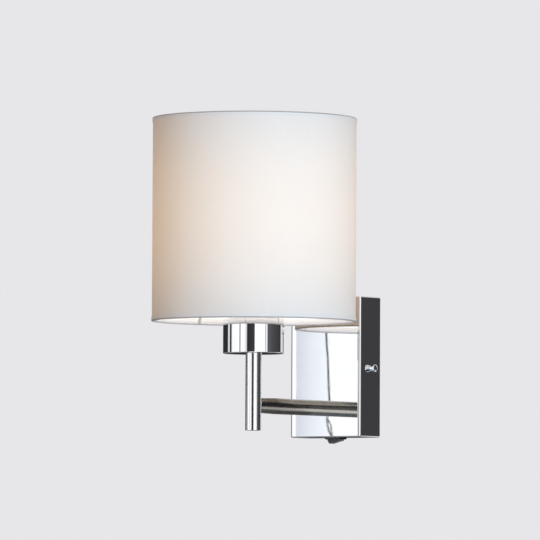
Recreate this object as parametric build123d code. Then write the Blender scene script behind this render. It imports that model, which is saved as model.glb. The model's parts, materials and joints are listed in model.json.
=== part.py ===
from build123d import *
from math import cos, pi, radians, sin, sqrt, tan
import os

# Fabric shade wall light: a polished wall plate, a bracketed arm, an upright post with a cup and a
# screw lampholder, and a drum shade clamped to the lampholder.  Millimetres, +Z up, the wall is the
# plane Y = 0 and the light stands out along -Y.  The origin is midway between the two wall screws.

# ------------------------------------------------------------------ wall plate and bracket
PLATE_WIDTH = 69.5
PLATE_HEIGHT = 111.5
PLATE_DEPTH = 26.8
PLATE_SHEET = 1.2
PLATE_BEND = 2.5
PLATE_FOLD = 1.0

BRACKET_SHEET = 1.5
BRACKET_PLAY = 0.1
BRACKET_BEND = 2.5
SPINE_WIDTH = 24.0
SPINE_END_MARGIN = 4.5
TAB_HEIGHT = 16.0
TAB_REACH = 18.0
WALL_SCREW_SPACING = 80.0
WALL_SLOT_WIDTH = 4.5
WALL_SLOT_LENGTH = 9.0
CABLE_HOLE_DIAMETER = 14.0

SIDE_SCREW_DEPTH = 11.7
SIDE_SCREW_LEVEL = -1.0
SIDE_SCREW_DIAMETER = 3.0
SIDE_SCREW_LENGTH = 6.0
SIDE_SCREW_HEAD = 5.8
SIDE_SCREW_CONE = 3.6
SIDE_SCREW_RIM = 0.5
SIDE_SCREW_DOME = 0.5
SIDE_SCREW_SLOT = 0.8

# ------------------------------------------------------------------ arm, post and cup
ARM_REACH = 120.0
ARM_DROP = 32.8
ARM_TIP_DIAMETER = 11.4
ARM_TAPER = 20.0
TUBE_DIAMETER = 12.5
NIPPLE_DIAMETER = 10.0
NIPPLE_BORE = 7.8
NIPPLE_GRIP = 12.0
NIPPLE_OVERRUN = 1.0
THREAD_PLAY = 0.03
NUT_ACROSS_FLATS = 14.0
NUT_THICKNESS = 3.0
LOCK_WASHER_DIAMETER = 15.5
LOCK_WASHER_THICKNESS = 0.8
LOCK_WASHER_TEETH = 12
BACKING_WASHER_DIAMETER = 26.0
BACKING_WASHER_THICKNESS = 1.5
HOLE_CLEARANCE = 0.2

CUP_RISE = 40.5
POST_TAIL = 19.9
END_CAP_THICKNESS = 0.8
END_CAP_DOME = 0.35
END_CAP_SPIGOT = 6.0
CUP_DIAMETER = 48.0
CUP_HEIGHT = 42.0
CUP_WALL = 0.9
CUP_FLOOR = 1.2
CUP_EDGE = 0.8

# ------------------------------------------------------------------ lampholder and shade rings
HOLDER_NECK_DIAMETER = 16.0
HOLDER_NECK_HEIGHT = 7.0
HOLDER_DIAMETER = 27.5
HOLDER_WALL = 2.1
HOLDER_THREAD_DEPTH = 8.0
HOLDER_BASE_HEIGHT = 21.5
HOLDER_CORE_SEAT = 15.0
HOLDER_CORE_HEIGHT = 14.0
HOLDER_HEIGHT = 54.0
HOLDER_THREAD_PITCH = 2.0
HOLDER_THREAD_CUT = 0.35
HOLDER_PLAY = 0.1
LAMP_SHELL_BORE = 14.5
LAMP_SHELL_WALL = 0.4
LAMP_SHELL_HEIGHT = 19.0
LAMP_MOUTH_DIAMETER = 17.2
CONTACT_RISE = 3.5
CONTACT_LEAF = 0.5
CONTACT_WIDTH = 3.5
TERMINAL_POST_DIAMETER = 4.2
TERMINAL_POST_HEIGHT = 3.0
TERMINAL_POST_SPREAD = 10.0

SHADE_RING_DIAMETER = 39.0
SHADE_RING_HEIGHT = 6.0
SHADE_RING_LEVEL = 34.5
SHADE_RING_NOTCHES = 24
SHADE_RING_NOTCH = 1.8

# ------------------------------------------------------------------ lamp bulb
BULB_DIAMETER = 35.0
BULB_LENGTH = 100.0
BULB_GLASS = 0.8
BULB_NECK_DIAMETER = 12.4
BULB_CAP_LENGTH = 17.0
BULB_CAP_CREST = 13.8
BULB_CAP_ROOT = 12.6
BULB_CAP_PITCH = 2.82
BULB_CAP_TURNS = 5
BULB_TIP_DIAMETER = 4.6
BULB_TIP_HEIGHT = 1.2
BULB_INSULATOR_HEIGHT = 2.3
BULB_STEM_DIAMETER = 5.0
BULB_STEM_HEIGHT = 26.0
FILAMENT_DIAMETER = 1.6
FILAMENT_LENGTH = 30.0
FILAMENT_COUNT = 4
FILAMENT_TOP_SPREAD = 4.2
FILAMENT_FOOT_SPREAD = 3.2

# ------------------------------------------------------------------ shade
SHADE_DIAMETER = 160.0
SHADE_HEIGHT = 160.0
SPIDER_DROP = 21.2
FABRIC_THICKNESS = 0.5
LINER_THICKNESS = 0.6
LAMINATE_GAP = 0.1
WIRE_DIAMETER = 2.5
WIRE_PLAY = 0.1
HEM_THICKNESS = 0.35
HEM_HEIGHT = 3.2
HEM_PLAY = 0.05
HEM_NOTCH_PLAY = 0.3
FITTER_DIAMETER = 43.0
FITTER_THICKNESS = 1.5
FITTER_PLAY = 0.35
SPOKE_COUNT = 3
SPOKE_FIRST_ANGLE = 42.0
SPOKE_LEAN = 23.0
SPOKE_BEND = 6.0

# ------------------------------------------------------------------ rocker switch
SWITCH_DEPTH = 12.0
BEZEL_LENGTH = 15.0
BEZEL_WIDTH = 10.5
BEZEL_THICKNESS = 1.4
BEZEL_CORNER = 1.0
HOUSING_LENGTH = 13.8
HOUSING_WIDTH = 8.8
HOUSING_HEIGHT = 12.0
HOUSING_END_WALL = 0.7
HOUSING_SIDE_WALL = 0.8
HOUSING_ROOF = 1.2
SWITCH_CUTOUT_PLAY = 0.1
LUG_WIDTH = 3.0
LUG_REACH = 0.6
LUG_HEIGHT = 1.5
ROCKER_END_PLAY = 0.15
ROCKER_SIDE_PLAY = 0.2
ROCKER_TILT = 14.0
ROCKER_CORNER_ANGLE = 52.0
ROCKER_HOLLOW = 0.15
ROCKER_TOP = 1.2
ROCKER_PIN_DIAMETER = 2.0
ROCKER_PIN_LENGTH = 0.6
ROCKER_PIN_PLAY = 0.05
PLUNGER_DIAMETER = 2.0
PLUNGER_PLAY = 0.05
PLUNGER_LENGTH = 3.4
PLUNGER_TIP_RISE = 4.4
PLUNGER_BORE_DEPTH = 4.0
BOSS_DIAMETER = 3.6
BOSS_RISE = 3.2
BLADE_GAP = 0.25
BLADE_THICKNESS = 0.4
BLADE_LENGTH = 8.4
BLADE_WIDTH = 4.0
BLADE_TILT = 7.0
CONTACT_GAP = 0.06
SWITCH_TAB_WIDTH = 2.8
SWITCH_TAB_THICKNESS = 0.8
SWITCH_TAB_LENGTH = 6.0

# ------------------------------------------------------------------ terminal block, earth and leads
BLOCK_POLES = 3
BLOCK_PITCH = 9.0
BLOCK_LENGTH = 28.0
BLOCK_BASE_DEPTH = 8.0
BLOCK_HEIGHT = 16.0
BLOCK_LEVEL = 22.0
CHIMNEY_DIAMETER = 6.4
CHIMNEY_HEIGHT = 4.5
CHIMNEY_SPREAD = 8.0
INSERT_DIAMETER = 4.4
INSERT_BORE = 2.6
INSERT_LENGTH = 14.0
INSERT_PLAY = 0.05
INSERT_DEPTH = 4.5
CLAMP_SCREW_DIAMETER = 2.6
CLAMP_SCREW_HEAD = 3.6
CLAMP_SCREW_HEAD_HEIGHT = 1.6
FIXING_SCREW_DIAMETER = 3.0
FIXING_SCREW_HEAD = 5.0
FIXING_SCREW_HEAD_HEIGHT = 2.0

EARTH_LEVEL = 18.0
EARTH_SCREW_DIAMETER = 4.0
EARTH_SCREW_HEAD = 7.4
EARTH_SCREW_HEAD_HEIGHT = 2.4
EARTH_TAG_DIAMETER = 8.4
EARTH_TAG_THICKNESS = 0.8
EARTH_BARREL_DIAMETER = 3.4
EARTH_BARREL_LENGTH = 5.0
EARTH_BARREL_OFFSET = 5.5

LEAD_DIAMETER = 1.8
LEAD_SPREAD = 4.0
LEAD_STRIP = 1.5

# ------------------------------------------------------------------ sizes that follow
TUBE_RADIUS = TUBE_DIAMETER / 2
TUBE_BORE_RADIUS = NIPPLE_DIAMETER / 2 + THREAD_PLAY
TUBE_WALL = TUBE_RADIUS - TUBE_BORE_RADIUS
ARM_TIP_BORE_RADIUS = ARM_TIP_DIAMETER / 2 - TUBE_WALL
NIPPLE_HOLE_RADIUS = NIPPLE_DIAMETER / 2 + HOLE_CLEARANCE

PLATE_INSIDE = PLATE_DEPTH - PLATE_SHEET
PLATE_INNER_HALF = PLATE_WIDTH / 2 - PLATE_SHEET
TAB_FACE = PLATE_INNER_HALF - BRACKET_PLAY
SPINE_HEIGHT = WALL_SCREW_SPACING + WALL_SLOT_LENGTH + 2 * SPINE_END_MARGIN

ARM_LEVEL = -ARM_DROP
POST_BOTTOM = ARM_LEVEL - POST_TAIL
CUP_BOTTOM = ARM_LEVEL + CUP_RISE
CUP_INSIDE = CUP_BOTTOM + CUP_FLOOR
HOLDER_SEAT = CUP_INSIDE + LOCK_WASHER_THICKNESS + NUT_THICKNESS
NIPPLE_TOP = HOLDER_SEAT + HOLDER_THREAD_DEPTH
CORE_BOTTOM = HOLDER_SEAT + HOLDER_CORE_SEAT
CORE_TOP = CORE_BOTTOM + HOLDER_CORE_HEIGHT
HOLDER_TOP = HOLDER_SEAT + HOLDER_HEIGHT
HOLDER_BORE_RADIUS = HOLDER_DIAMETER / 2 - HOLDER_WALL

LOWER_RING_BOTTOM = HOLDER_SEAT + SHADE_RING_LEVEL
FITTER_BOTTOM = LOWER_RING_BOTTOM + SHADE_RING_HEIGHT
FITTER_MIDDLE = FITTER_BOTTOM + FITTER_THICKNESS / 2
UPPER_RING_BOTTOM = FITTER_BOTTOM + FITTER_THICKNESS

SHADE_BOTTOM = FITTER_MIDDLE - SPIDER_DROP
SHADE_TOP = SHADE_BOTTOM + SHADE_HEIGHT
FABRIC_RADIUS = SHADE_DIAMETER / 2
LINER_OUTSIDE = FABRIC_RADIUS - FABRIC_THICKNESS - LAMINATE_GAP
LINER_INSIDE = LINER_OUTSIDE - LINER_THICKNESS
WIRE_RING_RADIUS = LINER_INSIDE - WIRE_PLAY - WIRE_DIAMETER / 2
WIRE_INSET = HEM_THICKNESS + HEM_PLAY + WIRE_DIAMETER / 2
BOTTOM_WIRE_LEVEL = SHADE_BOTTOM + WIRE_INSET
TOP_WIRE_LEVEL = SHADE_TOP - WIRE_INSET

CONTACT_TOP = CORE_TOP + CONTACT_RISE + CONTACT_LEAF
BULB_CAP_BOTTOM = CONTACT_TOP + BULB_TIP_HEIGHT + BULB_INSULATOR_HEIGHT
BULB_CAP_TOP = BULB_CAP_BOTTOM + BULB_CAP_LENGTH
BULB_TOP = CONTACT_TOP + BULB_LENGTH

SWITCH_FACE = -PLATE_HEIGHT / 2
CAVITY_HALF_LENGTH = HOUSING_LENGTH / 2 - HOUSING_END_WALL
CAVITY_HALF_WIDTH = HOUSING_WIDTH / 2 - HOUSING_SIDE_WALL
BLADE_TOP = SWITCH_FACE + PLUNGER_TIP_RISE + BLADE_GAP + BLADE_THICKNESS
SWITCH_TAB_TOP = SWITCH_FACE + HOUSING_HEIGHT + SWITCH_TAB_LENGTH
END_TERMINAL_X = -BLADE_LENGTH / 2

POLE_X = [(pole - (BLOCK_POLES - 1) / 2) * BLOCK_PITCH for pole in range(BLOCK_POLES)]
INSERT_Y = -BRACKET_SHEET - INSERT_DEPTH
INSERT_BOTTOM = BLOCK_LEVEL - INSERT_LENGTH / 2
LEAD_RADIUS = LEAD_DIAMETER / 2

EPSILON = 0.01
THROUGH = 1.0


# ------------------------------------------------------------------ helpers
def turned(*profile):
    """Solid of revolution about the Z axis, from (radius, height) points."""
    return revolve(make_face(Plane.XZ * Polyline(*profile, close=True)), Axis.Z)


def disc(radius, bottom, top):
    """Upright cylinder on the Z axis between two heights."""
    return Pos(0, 0, bottom) * Cylinder(radius, top - bottom, align=(Align.CENTER, Align.CENTER, Align.MIN))


def collar(outer, inner, bottom, top):
    """Upright round ring on the Z axis between two heights."""
    return turned((inner, bottom), (outer, bottom), (outer, top), (inner, top))


def on_post(shape):
    """Move a shape made on the Z axis to the axis of the post."""
    return Pos(0, -ARM_REACH, 0) * shape


def off_wall(shape, level, across=0.0):
    """Lay a shape made on the Z axis along -Y, its height now measured from the wall."""
    return Pos(across, 0, level) * Rot(90, 0, 0) * shape


def block(low, high):
    """Box between two opposite corners."""
    size = [b - a for a, b in zip(low, high)]
    middle = [(a + b) / 2 for a, b in zip(low, high)]
    return Pos(*middle) * Box(*size)


def hexagon(across_flats, bottom, top):
    """Upright hexagonal prism with lightly turned corners."""
    corner = across_flats / sqrt(3)
    prism = Pos(0, 0, bottom) * extrude(RegularPolygon(corner, 6), top - bottom)
    chamfer_drop = (corner - across_flats / 2) * tan(radians(30))
    turned_blank = turned(
        (0, bottom),
        (across_flats / 2, bottom),
        (corner, bottom + chamfer_drop),
        (corner, top - chamfer_drop),
        (across_flats / 2, top),
        (0, top),
    )
    return prism & turned_blank


def hex_nut(bottom):
    """Thin hexagon nut for the threaded nipple."""
    nut = hexagon(NUT_ACROSS_FLATS, bottom, bottom + NUT_THICKNESS)
    return nut - disc(TUBE_BORE_RADIUS, bottom - THROUGH, bottom + NUT_THICKNESS + THROUGH)


def lock_washer(bottom):
    """Toothed lock washer: a flat ring with notches round its rim."""
    top = bottom + LOCK_WASHER_THICKNESS
    radius = LOCK_WASHER_DIAMETER / 2
    washer = collar(radius, NIPPLE_HOLE_RADIUS, bottom, top)
    notch = disc(radius * pi / LOCK_WASHER_TEETH / 3, bottom - THROUGH, top + THROUGH)
    notches = PolarLocations(radius, LOCK_WASHER_TEETH) * notch
    return washer - notches


def nipple(bottom, top):
    """Hollow threaded tube with chamfered ends."""
    outer = NIPPLE_DIAMETER / 2
    inner = NIPPLE_BORE / 2
    lead_in = (outer - inner) / 2
    return turned(
        (inner, bottom),
        (outer - lead_in, bottom),
        (outer, bottom + lead_in),
        (outer, top - lead_in),
        (outer - lead_in, top),
        (inner, top),
    )


def lead(name, points, bends):
    """Insulated wire along straight runs joined by tangent arcs."""
    path = FilletPolyline(*points, radius=bends)
    start = Plane(origin=path @ 0, z_dir=path % 0)
    wire = sweep(start * Circle(LEAD_RADIUS), path=path)
    expected = pi * LEAD_RADIUS**2 * path.length
    print(f"{name}: {path.length:.1f} mm long, volume {wire.volume:.2f} of {expected:.2f} mm3, bends {bends}")
    return wire


def save(node, *shapes):
    """Write every solid of the shapes to one STEP file named after the node."""
    solids = [solid for shape in shapes for solid in shape.solids()]
    export_step(Compound(children=solids), f"parts/{node}.step")


# ------------------------------------------------------------------ wall plate and bracket
def cover_pan():
    """Deep pan, open at the back: holes for the arm, the two side screws and the switch."""
    half = PLATE_WIDTH / 2
    shell = block((-half, -PLATE_DEPTH, -PLATE_HEIGHT / 2), (half, 0, PLATE_HEIGHT / 2))
    front = shell.faces().sort_by(Axis.Y)[0]
    shell = fillet(front.edges().filter_by(Axis.Z), PLATE_BEND)
    front = shell.faces().sort_by(Axis.Y)[0]
    shell = fillet(front.edges().filter_by(Axis.X), PLATE_FOLD)
    inner_half = PLATE_INNER_HALF
    inner_height = PLATE_HEIGHT / 2 - PLATE_SHEET
    hollow = block((-inner_half, -PLATE_INSIDE, -inner_height), (inner_half, THROUGH, inner_height))
    floor = hollow.faces().sort_by(Axis.Y)[0]
    hollow = fillet(floor.edges().filter_by(Axis.Z), max(PLATE_BEND - PLATE_SHEET, EPSILON))
    shell -= hollow
    shell -= off_wall(disc(NIPPLE_HOLE_RADIUS, PLATE_INSIDE - THROUGH, PLATE_DEPTH + THROUGH), ARM_LEVEL)
    screw_hole = Cylinder(SIDE_SCREW_DIAMETER / 2 + HOLE_CLEARANCE, PLATE_WIDTH + THROUGH)
    shell -= Pos(0, -SIDE_SCREW_DEPTH, SIDE_SCREW_LEVEL) * Rot(0, 90, 0) * screw_hole
    cut_x = HOUSING_LENGTH / 2 + SWITCH_CUTOUT_PLAY
    cut_y = HOUSING_WIDTH / 2 + SWITCH_CUTOUT_PLAY
    shell -= block(
        (-cut_x, -SWITCH_DEPTH - cut_y, SWITCH_FACE - THROUGH),
        (cut_x, -SWITCH_DEPTH + cut_y, SWITCH_FACE + PLATE_SHEET + THROUGH),
    )
    return shell


def wall_slot():
    """Upright slot through the bracket, as a cutter."""
    straight = WALL_SLOT_LENGTH - WALL_SLOT_WIDTH
    outline = Plane.XZ * SlotCenterToCenter(straight, WALL_SLOT_WIDTH, rotation=90)
    return extrude(outline, 2 * BRACKET_SHEET, both=True)


def wall_bracket():
    """Folded steel cross: a spine on the wall and two ears inside the pan's side walls."""
    half_tab = TAB_HEIGHT / 2
    spine = block(
        (-SPINE_WIDTH / 2, -BRACKET_SHEET, -SPINE_HEIGHT / 2), (SPINE_WIDTH / 2, 0, SPINE_HEIGHT / 2)
    )
    bar = block((-TAB_FACE, -TAB_REACH, -half_tab), (TAB_FACE, 0, half_tab))
    bar = fillet(bar.edges().filter_by(Axis.Z).group_by(Axis.Y)[-1], BRACKET_BEND)
    inner = TAB_FACE - BRACKET_SHEET
    gap = block((-inner, -TAB_REACH - THROUGH, -TAB_HEIGHT), (inner, -BRACKET_SHEET, TAB_HEIGHT))
    gap = fillet(gap.edges().filter_by(Axis.Z).group_by(Axis.Y)[-1], BRACKET_BEND - BRACKET_SHEET)
    bracket = spine + (bar - gap)
    for end in (-1, 1):
        bracket -= Pos(0, 0, end * WALL_SCREW_SPACING / 2) * wall_slot()
    hole_depth = 2 * BRACKET_SHEET
    bracket -= off_wall(disc(CABLE_HOLE_DIAMETER / 2, -THROUGH, hole_depth), 0)
    bracket -= off_wall(disc(EARTH_SCREW_DIAMETER / 2 + THREAD_PLAY, -THROUGH, hole_depth), -EARTH_LEVEL)
    fixing_hole = disc(FIXING_SCREW_DIAMETER / 2 + THREAD_PLAY, -THROUGH, hole_depth)
    bracket -= off_wall(fixing_hole, BLOCK_LEVEL, BLOCK_PITCH / 2)
    screw_hole = Cylinder(SIDE_SCREW_DIAMETER / 2 + THREAD_PLAY, PLATE_WIDTH)
    bracket -= Pos(0, -SIDE_SCREW_DEPTH, SIDE_SCREW_LEVEL) * Rot(0, 90, 0) * screw_hole
    return bracket


def side_screw():
    """Screw on the Z axis with a tall flared head, standing on the foot of its cone at height 0."""
    shank = SIDE_SCREW_DIAMETER / 2
    head = SIDE_SCREW_HEAD / 2
    rim = SIDE_SCREW_CONE + SIDE_SCREW_RIM
    top = rim + SIDE_SCREW_DOME
    blank = turned(
        (0, -SIDE_SCREW_LENGTH),
        (shank * 0.75, -SIDE_SCREW_LENGTH),
        (shank, -SIDE_SCREW_LENGTH + shank * 0.25),
        (shank, 0),
        (shank + HOLE_CLEARANCE * 2, 0),
        (head, SIDE_SCREW_CONE),
        (head, rim),
        (head * 0.9, rim + SIDE_SCREW_DOME * 0.4),
        (head * 0.6, top),
        (0, top),
    )
    slot_half = SIDE_SCREW_HEAD * 0.32
    for turn in (0, 90):
        cross = block((-slot_half, -SIDE_SCREW_SLOT / 2, top - 1.1), (slot_half, SIDE_SCREW_SLOT / 2, top + 1))
        blank -= Rot(0, 0, turn) * cross
    return blank


def side_screws():
    """One screw through each side wall of the pan into the bracket's ear."""
    half = PLATE_WIDTH / 2
    right = Pos(half, -SIDE_SCREW_DEPTH, SIDE_SCREW_LEVEL) * Rot(0, 90, 0) * side_screw()
    left = Pos(-half, -SIDE_SCREW_DEPTH, SIDE_SCREW_LEVEL) * Rot(0, -90, 0) * side_screw()
    return [right, left]


# ------------------------------------------------------------------ arm and post
def arm_tube():
    """Arm from the plate to the post, drawn down at its tip and coped round the post."""
    taper_start = ARM_REACH - TUBE_RADIUS - ARM_TAPER
    tip = ARM_TIP_DIAMETER / 2
    blank = turned(
        (TUBE_BORE_RADIUS, PLATE_DEPTH),
        (TUBE_RADIUS, PLATE_DEPTH),
        (TUBE_RADIUS, taper_start),
        (tip, ARM_REACH - TUBE_RADIUS),
        (tip, ARM_REACH),
        (ARM_TIP_BORE_RADIUS, ARM_REACH),
        (ARM_TIP_BORE_RADIUS, ARM_REACH - TUBE_RADIUS),
        (TUBE_BORE_RADIUS, taper_start),
    )
    cope = on_post(disc(TUBE_RADIUS, POST_BOTTOM, CUP_BOTTOM))
    return off_wall(blank, ARM_LEVEL) - cope


def post_tube():
    """Upright tube with a hole where the wires come in from the arm."""
    tube = collar(TUBE_RADIUS, TUBE_BORE_RADIUS, POST_BOTTOM + END_CAP_THICKNESS, CUP_BOTTOM)
    wire_hole = off_wall(disc(ARM_TIP_BORE_RADIUS, ARM_REACH - 2 * TUBE_RADIUS, ARM_REACH), ARM_LEVEL)
    return on_post(tube) - wire_hole


def post_end_cap():
    """Plug closing the foot of the post, with a slightly domed face."""
    spigot = TUBE_BORE_RADIUS - THREAD_PLAY
    seat = POST_BOTTOM + END_CAP_THICKNESS
    plug = turned(
        (0, POST_BOTTOM),
        (TUBE_RADIUS * 0.6, POST_BOTTOM + END_CAP_DOME * 0.3),
        (TUBE_RADIUS, POST_BOTTOM + END_CAP_DOME),
        (TUBE_RADIUS, seat),
        (spigot, seat),
        (spigot, seat + END_CAP_SPIGOT),
        (spigot - TUBE_WALL, seat + END_CAP_SPIGOT),
        (spigot - TUBE_WALL, seat + END_CAP_THICKNESS),
        (0, seat + END_CAP_THICKNESS),
    )
    return on_post(plug)


def arm_fixings():
    """Nipple, backing washer, lock washer and nut that clamp the arm to the pan."""
    washer_top = PLATE_INSIDE - BACKING_WASHER_THICKNESS
    lock_bottom = washer_top - LOCK_WASHER_THICKNESS
    nut_bottom = lock_bottom - NUT_THICKNESS
    backing = collar(BACKING_WASHER_DIAMETER / 2, NIPPLE_HOLE_RADIUS, washer_top, PLATE_INSIDE)
    return {
        "arm_nipple": off_wall(nipple(nut_bottom - NIPPLE_OVERRUN, PLATE_DEPTH + NIPPLE_GRIP), ARM_LEVEL),
        "arm_backing_washer": off_wall(backing, ARM_LEVEL),
        "arm_lock_washer": off_wall(lock_washer(lock_bottom), ARM_LEVEL),
        "arm_nut": off_wall(hex_nut(nut_bottom), ARM_LEVEL),
    }


# ------------------------------------------------------------------ cup and lampholder
def cup():
    """Straight drawn cup that hides the lampholder, clamped on the top of the post."""
    radius = CUP_DIAMETER / 2
    top = CUP_BOTTOM + CUP_HEIGHT
    shell = disc(radius, CUP_BOTTOM, top)
    shell = fillet(shell.edges().filter_by(GeomType.CIRCLE).sort_by(Axis.Z)[0], CUP_EDGE)
    shell -= disc(radius - CUP_WALL, CUP_INSIDE, top + THROUGH)
    shell -= disc(NIPPLE_HOLE_RADIUS, CUP_BOTTOM - THROUGH, CUP_INSIDE + THROUGH)
    return on_post(shell)


def post_fixings():
    """Nipple from the post into the lampholder, with the lock washer and nut on the cup's floor."""
    return {
        "post_nipple": on_post(nipple(CUP_BOTTOM - NIPPLE_GRIP, NIPPLE_TOP)),
        "cup_lock_washer": on_post(lock_washer(CUP_INSIDE)),
        "cup_nut": on_post(hex_nut(CUP_INSIDE + LOCK_WASHER_THICKNESS)),
    }


def holder_base():
    """Lower half of the lampholder: threaded neck, cone and a chamber for the terminals."""
    neck = HOLDER_NECK_DIAMETER / 2
    outer = HOLDER_DIAMETER / 2
    shoulder = HOLDER_SEAT + HOLDER_NECK_HEIGHT
    slope = outer - neck
    ledge = HOLDER_BORE_RADIUS - HOLDER_WALL
    floor = NIPPLE_TOP + HOLDER_PLAY
    shape = turned(
        (TUBE_BORE_RADIUS, HOLDER_SEAT),
        (neck, HOLDER_SEAT),
        (neck, shoulder),
        (outer, shoulder + slope * 0.85),
        (outer, HOLDER_SEAT + HOLDER_BASE_HEIGHT),
        (HOLDER_BORE_RADIUS, HOLDER_SEAT + HOLDER_BASE_HEIGHT),
        (HOLDER_BORE_RADIUS, CORE_BOTTOM),
        (ledge, CORE_BOTTOM),
        (ledge, CORE_BOTTOM - HOLDER_WALL),
        (TUBE_BORE_RADIUS + HOLDER_WALL / 2, floor),
        (TUBE_BORE_RADIUS, floor),
    )
    return on_post(shape)


def holder_core():
    """Insulating core between the two halves of the lampholder."""
    return on_post(disc(HOLDER_BORE_RADIUS - HOLDER_PLAY, CORE_BOTTOM, CORE_TOP))


def holder_skirt():
    """Upper half of the lampholder, threaded outside for the two shade rings."""
    bottom = HOLDER_SEAT + HOLDER_BASE_HEIGHT
    crest = HOLDER_DIAMETER / 2
    root = crest - HOLDER_THREAD_CUT
    shell = LAMP_SHELL_BORE / 2 + LAMP_SHELL_WALL + HOLDER_PLAY
    shell_top = CORE_TOP + LAMP_SHELL_HEIGHT
    roof = CORE_TOP + HOLDER_PLAY
    thread_start = bottom + HOLDER_WALL
    outline = [(HOLDER_BORE_RADIUS, bottom), (crest, bottom)]
    turns = int((HOLDER_TOP - thread_start - HOLDER_THREAD_PITCH) / HOLDER_THREAD_PITCH)
    for turn in range(turns):
        start = thread_start + turn * HOLDER_THREAD_PITCH
        outline.append((crest, start))
        outline.append((root, start + HOLDER_THREAD_PITCH * 0.3))
        outline.append((root, start + HOLDER_THREAD_PITCH * 0.5))
        outline.append((crest, start + HOLDER_THREAD_PITCH * 0.8))
    outline += [
        (crest, HOLDER_TOP),
        (LAMP_MOUTH_DIAMETER / 2, HOLDER_TOP),
        (LAMP_MOUTH_DIAMETER / 2, shell_top),
        (shell, shell_top),
        (shell, roof),
        (HOLDER_BORE_RADIUS, roof),
    ]
    return on_post(turned(*outline))


def lamp_contacts():
    """Screw shell, spring leaf and the two wire posts of the lampholder."""
    bore = LAMP_SHELL_BORE / 2
    shell = collar(bore + LAMP_SHELL_WALL, bore, CORE_TOP, CORE_TOP + LAMP_SHELL_HEIGHT)
    reach = bore - 2 * LAMP_SHELL_WALL - HOLDER_PLAY
    leaf_line = [
        (-reach, CORE_TOP),
        (-reach * 0.4, CORE_TOP),
        (reach * 0.3, CORE_TOP + CONTACT_RISE),
        (reach * 0.55, CORE_TOP + CONTACT_RISE),
        (reach * 0.55, CONTACT_TOP),
        (-BULB_TIP_DIAMETER / 2, CONTACT_TOP),
        (-reach * 0.6, CORE_TOP + CONTACT_LEAF),
        (-reach, CORE_TOP + CONTACT_LEAF),
    ]
    leaf_face = make_face(Plane.XZ * Polyline(*leaf_line, close=True))
    leaf = extrude(leaf_face, CONTACT_WIDTH / 2, both=True)
    post = disc(TERMINAL_POST_DIAMETER / 2, CORE_BOTTOM - TERMINAL_POST_HEIGHT, CORE_BOTTOM)
    spread = TERMINAL_POST_SPREAD / 2
    return {
        "holder_screw_shell": on_post(shell),
        "holder_centre_contact": on_post(leaf),
        "holder_wire_posts": [on_post(Pos(side * spread, 0, 0) * post) for side in (-1, 1)],
    }


def shade_ring(bottom):
    """Threaded clamping ring with finger notches round its rim."""
    outer = SHADE_RING_DIAMETER / 2
    top = bottom + SHADE_RING_HEIGHT
    ring = collar(outer, HOLDER_DIAMETER / 2 + THREAD_PLAY, bottom, top)
    notch = disc(SHADE_RING_NOTCH / 2, bottom - THROUGH, top + THROUGH)
    return on_post(ring - PolarLocations(outer, SHADE_RING_NOTCHES) * notch)


# ------------------------------------------------------------------ bulb
def bulb_cap():
    """Small screw cap of the bulb with its rounded thread and an open neck."""
    crest = BULB_CAP_CREST / 2
    root = BULB_CAP_ROOT / 2
    neck = BULB_NECK_DIAMETER / 2
    outline = [(neck - 2 * BULB_GLASS, BULB_CAP_BOTTOM), (root, BULB_CAP_BOTTOM)]
    for turn in range(BULB_CAP_TURNS):
        start = BULB_CAP_BOTTOM + turn * BULB_CAP_PITCH
        outline.append((root, start + BULB_CAP_PITCH * 0.2))
        outline.append((crest, start + BULB_CAP_PITCH * 0.45))
        outline.append((crest, start + BULB_CAP_PITCH * 0.65))
        outline.append((root, start + BULB_CAP_PITCH * 0.9))
    outline += [(neck + 2 * THREAD_PLAY + BULB_GLASS / 2, BULB_CAP_TOP)]
    outline += [(neck + THREAD_PLAY, BULB_CAP_TOP), (neck + THREAD_PLAY, BULB_CAP_TOP - BULB_CAP_PITCH)]
    outline += [(neck - 2 * BULB_GLASS, BULB_CAP_TOP - BULB_CAP_PITCH)]
    return on_post(turned(*outline))


def bulb_foot():
    """Black insulator and centre contact under the bulb's cap."""
    tip = BULB_TIP_DIAMETER / 2
    insulator_bottom = CONTACT_TOP + BULB_TIP_HEIGHT
    solder = turned(
        (0, CONTACT_TOP),
        (tip * 0.6, CONTACT_TOP),
        (tip, CONTACT_TOP + BULB_TIP_HEIGHT * 0.5),
        (tip, insulator_bottom),
        (0, insulator_bottom),
    )
    insulator = turned(
        (0, insulator_bottom),
        (tip * 1.2, insulator_bottom),
        (BULB_CAP_ROOT / 2, BULB_CAP_BOTTOM),
        (0, BULB_CAP_BOTTOM),
    )
    return {"bulb_tip_contact": on_post(solder), "bulb_insulator": on_post(insulator)}


def candle_outline(inset):
    """Candle-shaped curve from the neck to the tip, moved inwards by a wall thickness."""
    neck = BULB_NECK_DIAMETER / 2 - inset
    belly = BULB_DIAMETER / 2 - inset
    foot = BULB_CAP_TOP - BULB_CAP_PITCH + (inset if inset else THREAD_PLAY)
    crown = BULB_TOP - inset
    belly_level = BULB_CAP_TOP + (BULB_TOP - BULB_CAP_TOP) * 0.33
    shoulder = (BULB_CAP_TOP + belly_level) / 2
    neck_line = Line((neck, foot), (neck, BULB_CAP_TOP))
    lower = Spline(
        (neck, BULB_CAP_TOP), ((neck + belly) / 2 + 1.0, shoulder), (belly, belly_level), tangents=((0, 1), (0, 1))
    )
    upper = Spline((belly, belly_level), (belly * 0.55, BULB_TOP - (BULB_TOP - belly_level) * 0.3),
                   (0, crown), tangents=((0, 1), (-1, 0.5)))
    closing = Polyline((0, crown), (0, foot), (neck, foot))
    return make_face(Plane.XZ * (neck_line + lower + upper + closing))


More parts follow.
